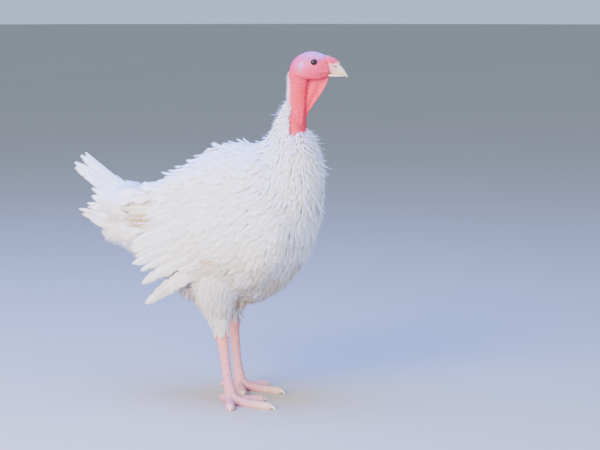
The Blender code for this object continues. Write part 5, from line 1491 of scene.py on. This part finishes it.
# The lowest blades lie beside the tail on an upright sheet that runs inwards to the rear.
SIDE_X, SIDE_Z, SIDE_CELL = (-0.360, -0.110), (0.300, 0.460), 0.005
SIDE_OUT, SIDE_AT_X, SIDE_SLOPE = 0.092, -0.150, 0.33
SIDE_BLADES = np.array([
    # root (x, z), tip (x, z), half width of the lowest blades and of the plumes beside the tail's root
    (-0.222, 0.347, -0.3388, 0.3864, 0.0075), (-0.222, 0.340, -0.3304, 0.3753, 0.0080),
    (-0.215, 0.337, -0.3076, 0.3640, 0.0100), (-0.200, 0.335, -0.2760, 0.3572, 0.0120),
    (-0.215, 0.375, -0.3163, 0.3993, 0.0060), (-0.215, 0.368, -0.3144, 0.3920, 0.0060),
    (-0.150, 0.363, -0.2550, 0.3660, 0.0130), (-0.145, 0.373, -0.2580, 0.3790, 0.0130),
    (-0.140, 0.383, -0.2520, 0.3920, 0.0130), (-0.142, 0.392, -0.2480, 0.4030, 0.0130),
    (-0.145, 0.401, -0.2440, 0.4140, 0.0130), (-0.150, 0.409, -0.2360, 0.4240, 0.0130),
    (-0.115, 0.380, -0.2050, 0.3860, 0.0130), (-0.115, 0.390, -0.2080, 0.3980, 0.0130),
    (-0.118, 0.401, -0.2080, 0.4120, 0.0130),
])
for side in (1, -1):
    x, z = np.meshgrid(np.arange(*SIDE_X, SIDE_CELL), np.arange(*SIDE_Z, SIDE_CELL), indexing="ij")
    y = side * (SIDE_OUT + SIDE_SLOPE * (x - SIDE_AT_X))
    beside = Surface(to_frame(np.stack([x, y, z], axis=-1)), outward=(0, side, 0))
    share = np.linspace(0, 1, 12)[None, :, None]
    roots, tips, half_width = SIDE_BLADES[:, None, 0:2], SIDE_BLADES[:, None, 2:4], SIDE_BLADES[:, 4]
    line = roots + (tips - roots) * share + np.array([0, 0.006]) * np.sin(np.pi * share)
    count = len(SIDE_BLADES)
    stack = 0.0004 * np.arange(count)
    choice = own.integers(0, len(FAN_BLADES), count)
    parts.append(lay_feathers(beside, (line - (SIDE_X[0], SIDE_Z[0])) / SIDE_CELL, half_width, FAN_BLADES,
                              (stack - 0.004, stack), choice, 0.00030))
wear(coat_piece("tail_feathers", merged(parts), FLIGHT_PLUMAGE), "plumage", "tail")

# The cushion of soft feathers round the tail's root: an egg that tilts up to the rear.
polar = np.linspace(0.12, np.pi - 0.015, 60)
pad_polar, pad_turn = np.meshgrid(polar, np.arange(120) * np.pi / 60, indexing="ij")
pad_axis = np.array([-math.cos(PAD_TILT), 0, math.sin(PAD_TILT)])
pad_rise = np.array([math.sin(PAD_TILT), 0, math.cos(PAD_TILT)])
pad_grid = PAD_CENTRE - pad_axis * (PAD_LONG * np.cos(pad_polar))[..., None]
pad_grid = pad_grid + pad_rise * (PAD_THICK * np.sin(pad_polar) * np.cos(pad_turn))[..., None]
pad_grid = pad_grid + np.array([0, 1, 0]) * (PAD_WIDE * np.sin(pad_polar) * np.sin(pad_turn))[..., None]
pad = Surface(to_frame(pad_grid), ring=True)
places = scattered(pad, cell_area(pad) / PAD_PITCH**2 * (pad_polar < PAD_LAST_ROOT), own)
count = len(places)
length = PAD_LENGTH * own.uniform(0.8, 1.2, count)
paths = flow(pad, places, length, lambda point, normal, down: unit(down), 0.16 * own.normal(size=count))
levels = (np.full(count, -0.005), 0.001 + 0.001 * own.uniform(0, 1, count))
tufts = np.interp(places[:, 0], (25, 40), (0.0015, 0.0060)) * np.clip(own.normal(0, 1, count), -0.3, 2)
width = PAD_HALF_WIDTH * own.uniform(0.8, 1.2, count)
choice = own.integers(0, len(CONTOURS), count)
laid = lay_feathers(pad, paths, width, CONTOURS, levels, choice, 0.00025,
                    tufts, own.normal(0, 0.003, count), own.normal(0, 0.06, count))
wear(coat_piece("coat_tail_root", laid, SOFT_PLUMAGE), "plumage")


# Floor: one pale matt disc that runs level under the bird and out past what the camera sees.
FLOOR_RINGS, FLOOR_AROUND = (2.0, 8.0, 40.0), 64
turn = np.linspace(0, 2 * np.pi, FLOOR_AROUND, endpoint=False)
reach = np.array(FLOOR_RINGS)[:, None]
rings = np.stack([reach * np.cos(turn), reach * np.sin(turn), 0 * reach + 0 * turn], axis=-1)
a, b, c, d = cells(len(FLOOR_RINGS) - 1, FLOOR_AROUND)
first = np.arange(FLOOR_AROUND)
middle = np.column_stack([np.full(FLOOR_AROUND, rings.size // 3), first, (first + 1) % FLOOR_AROUND])
floor_faces = np.concatenate([np.stack([a, c, d], 1), np.stack([a, d, b], 1), middle])
paper, tree, shader = new_material("pale matt paper", Roughness=0.9, Specular_IOR_Level=0.2)
place = add_node(tree, "ShaderNodeTexCoord").outputs["Object"]
cloud = add_node(tree, "ShaderNodeTexNoise", {"Vector": place, "Scale": 0.8, "Detail": 1.0})
shade = add_node(tree, "ShaderNodeMix", {0: cloud.outputs["Fac"], 6: (*linear("#ACA69A"), 1),
                                         7: (*linear("#B1AB9F"), 1)}, data_type="RGBA")
tree.links.new(shade.outputs[2], shader.inputs["Base Color"])
floor_points = np.concatenate([rings.reshape(-1, 3), np.zeros((1, 3))])
floor = mesh_object("floor_disc", floor_points, floor_faces, paper)


# Light: a wide warm key from the camera's left, a strong blue light straight above like open sky, a
# weak cool one from before her, and a pale blue even surround.
LIGHTS = {
    # place, size in metres, power in watts, colour
    "key": ((-0.9, -2.9, 1.5), 2.2, 360.0, "#FFE8D2"),
    "sky": ((-0.6, -0.1, 2.9), 2.6, 420.0, "#3F7CFF"),
    "fill": ((2.6, -1.6, 1.2), 2.2, 80.0, "#CFE0FF"),
}
LIGHT_AIM = Vector((0.0, 0.0, 0.35))
for name, (place, size, power, code) in LIGHTS.items():
    data = bpy.data.lights.new(name, "AREA")
    data.size, data.energy, data.color = size, power, linear(code)
    light = bpy.data.objects.new(name, data)
    light.location = place
    light.rotation_euler = (LIGHT_AIM - Vector(place)).to_track_quat("-Z", "Y").to_euler()
    bpy.context.scene.collection.objects.link(light)
world = bpy.data.worlds.new("even surround")
world.use_nodes = True
world.node_tree.nodes["Background"].inputs["Color"].default_value = (*linear("#C2D5F8"), 1)
world.node_tree.nodes["Background"].inputs["Strength"].default_value = 1.0
bpy.context.scene.world = world


# Camera: four metres off her right side, a little ahead of square and at a standing child's eye
# height, with a long lens, so that the bird stands left of the middle as in the photograph.
CAMERA_TURN, CAMERA_FAR, CAMERA_HIGH = math.radians(18.0), 4.0, 0.85
PHOTO_WIDTH, PHOTO_HEIGHT, FOCAL_PIXELS = 600, 450, 1952.0
ORIGIN_PIXEL = (236.5, 396.0)  # where the body's own origin shows in the 600 x 450 photograph
SENSOR = 36.0
camera_data = bpy.data.cameras.new("camera")
camera_data.sensor_width, camera_data.lens = SENSOR, FOCAL_PIXELS * SENSOR / PHOTO_WIDTH
camera_data.clip_start, camera_data.clip_end = 0.1, 60.0
camera = bpy.data.objects.new("camera", camera_data)
yaw = math.atan((ORIGIN_PIXEL[0] - PHOTO_WIDTH / 2) / FOCAL_PIXELS) + CAMERA_TURN
pitch = math.atan(CAMERA_HIGH / CAMERA_FAR) - math.atan((ORIGIN_PIXEL[1] - PHOTO_HEIGHT / 2) / FOCAL_PIXELS)
forward = Vector((-math.sin(yaw) * math.cos(pitch), math.cos(yaw) * math.cos(pitch), -math.sin(pitch)))
camera.rotation_euler = forward.to_track_quat("-Z", "Y").to_euler()
stand = (CAMERA_FAR * math.sin(CAMERA_TURN), -CAMERA_FAR * math.cos(CAMERA_TURN), CAMERA_HIGH)
camera.location = OFFSET + stand
bpy.context.scene.collection.objects.link(camera)
bpy.context.scene.camera = camera
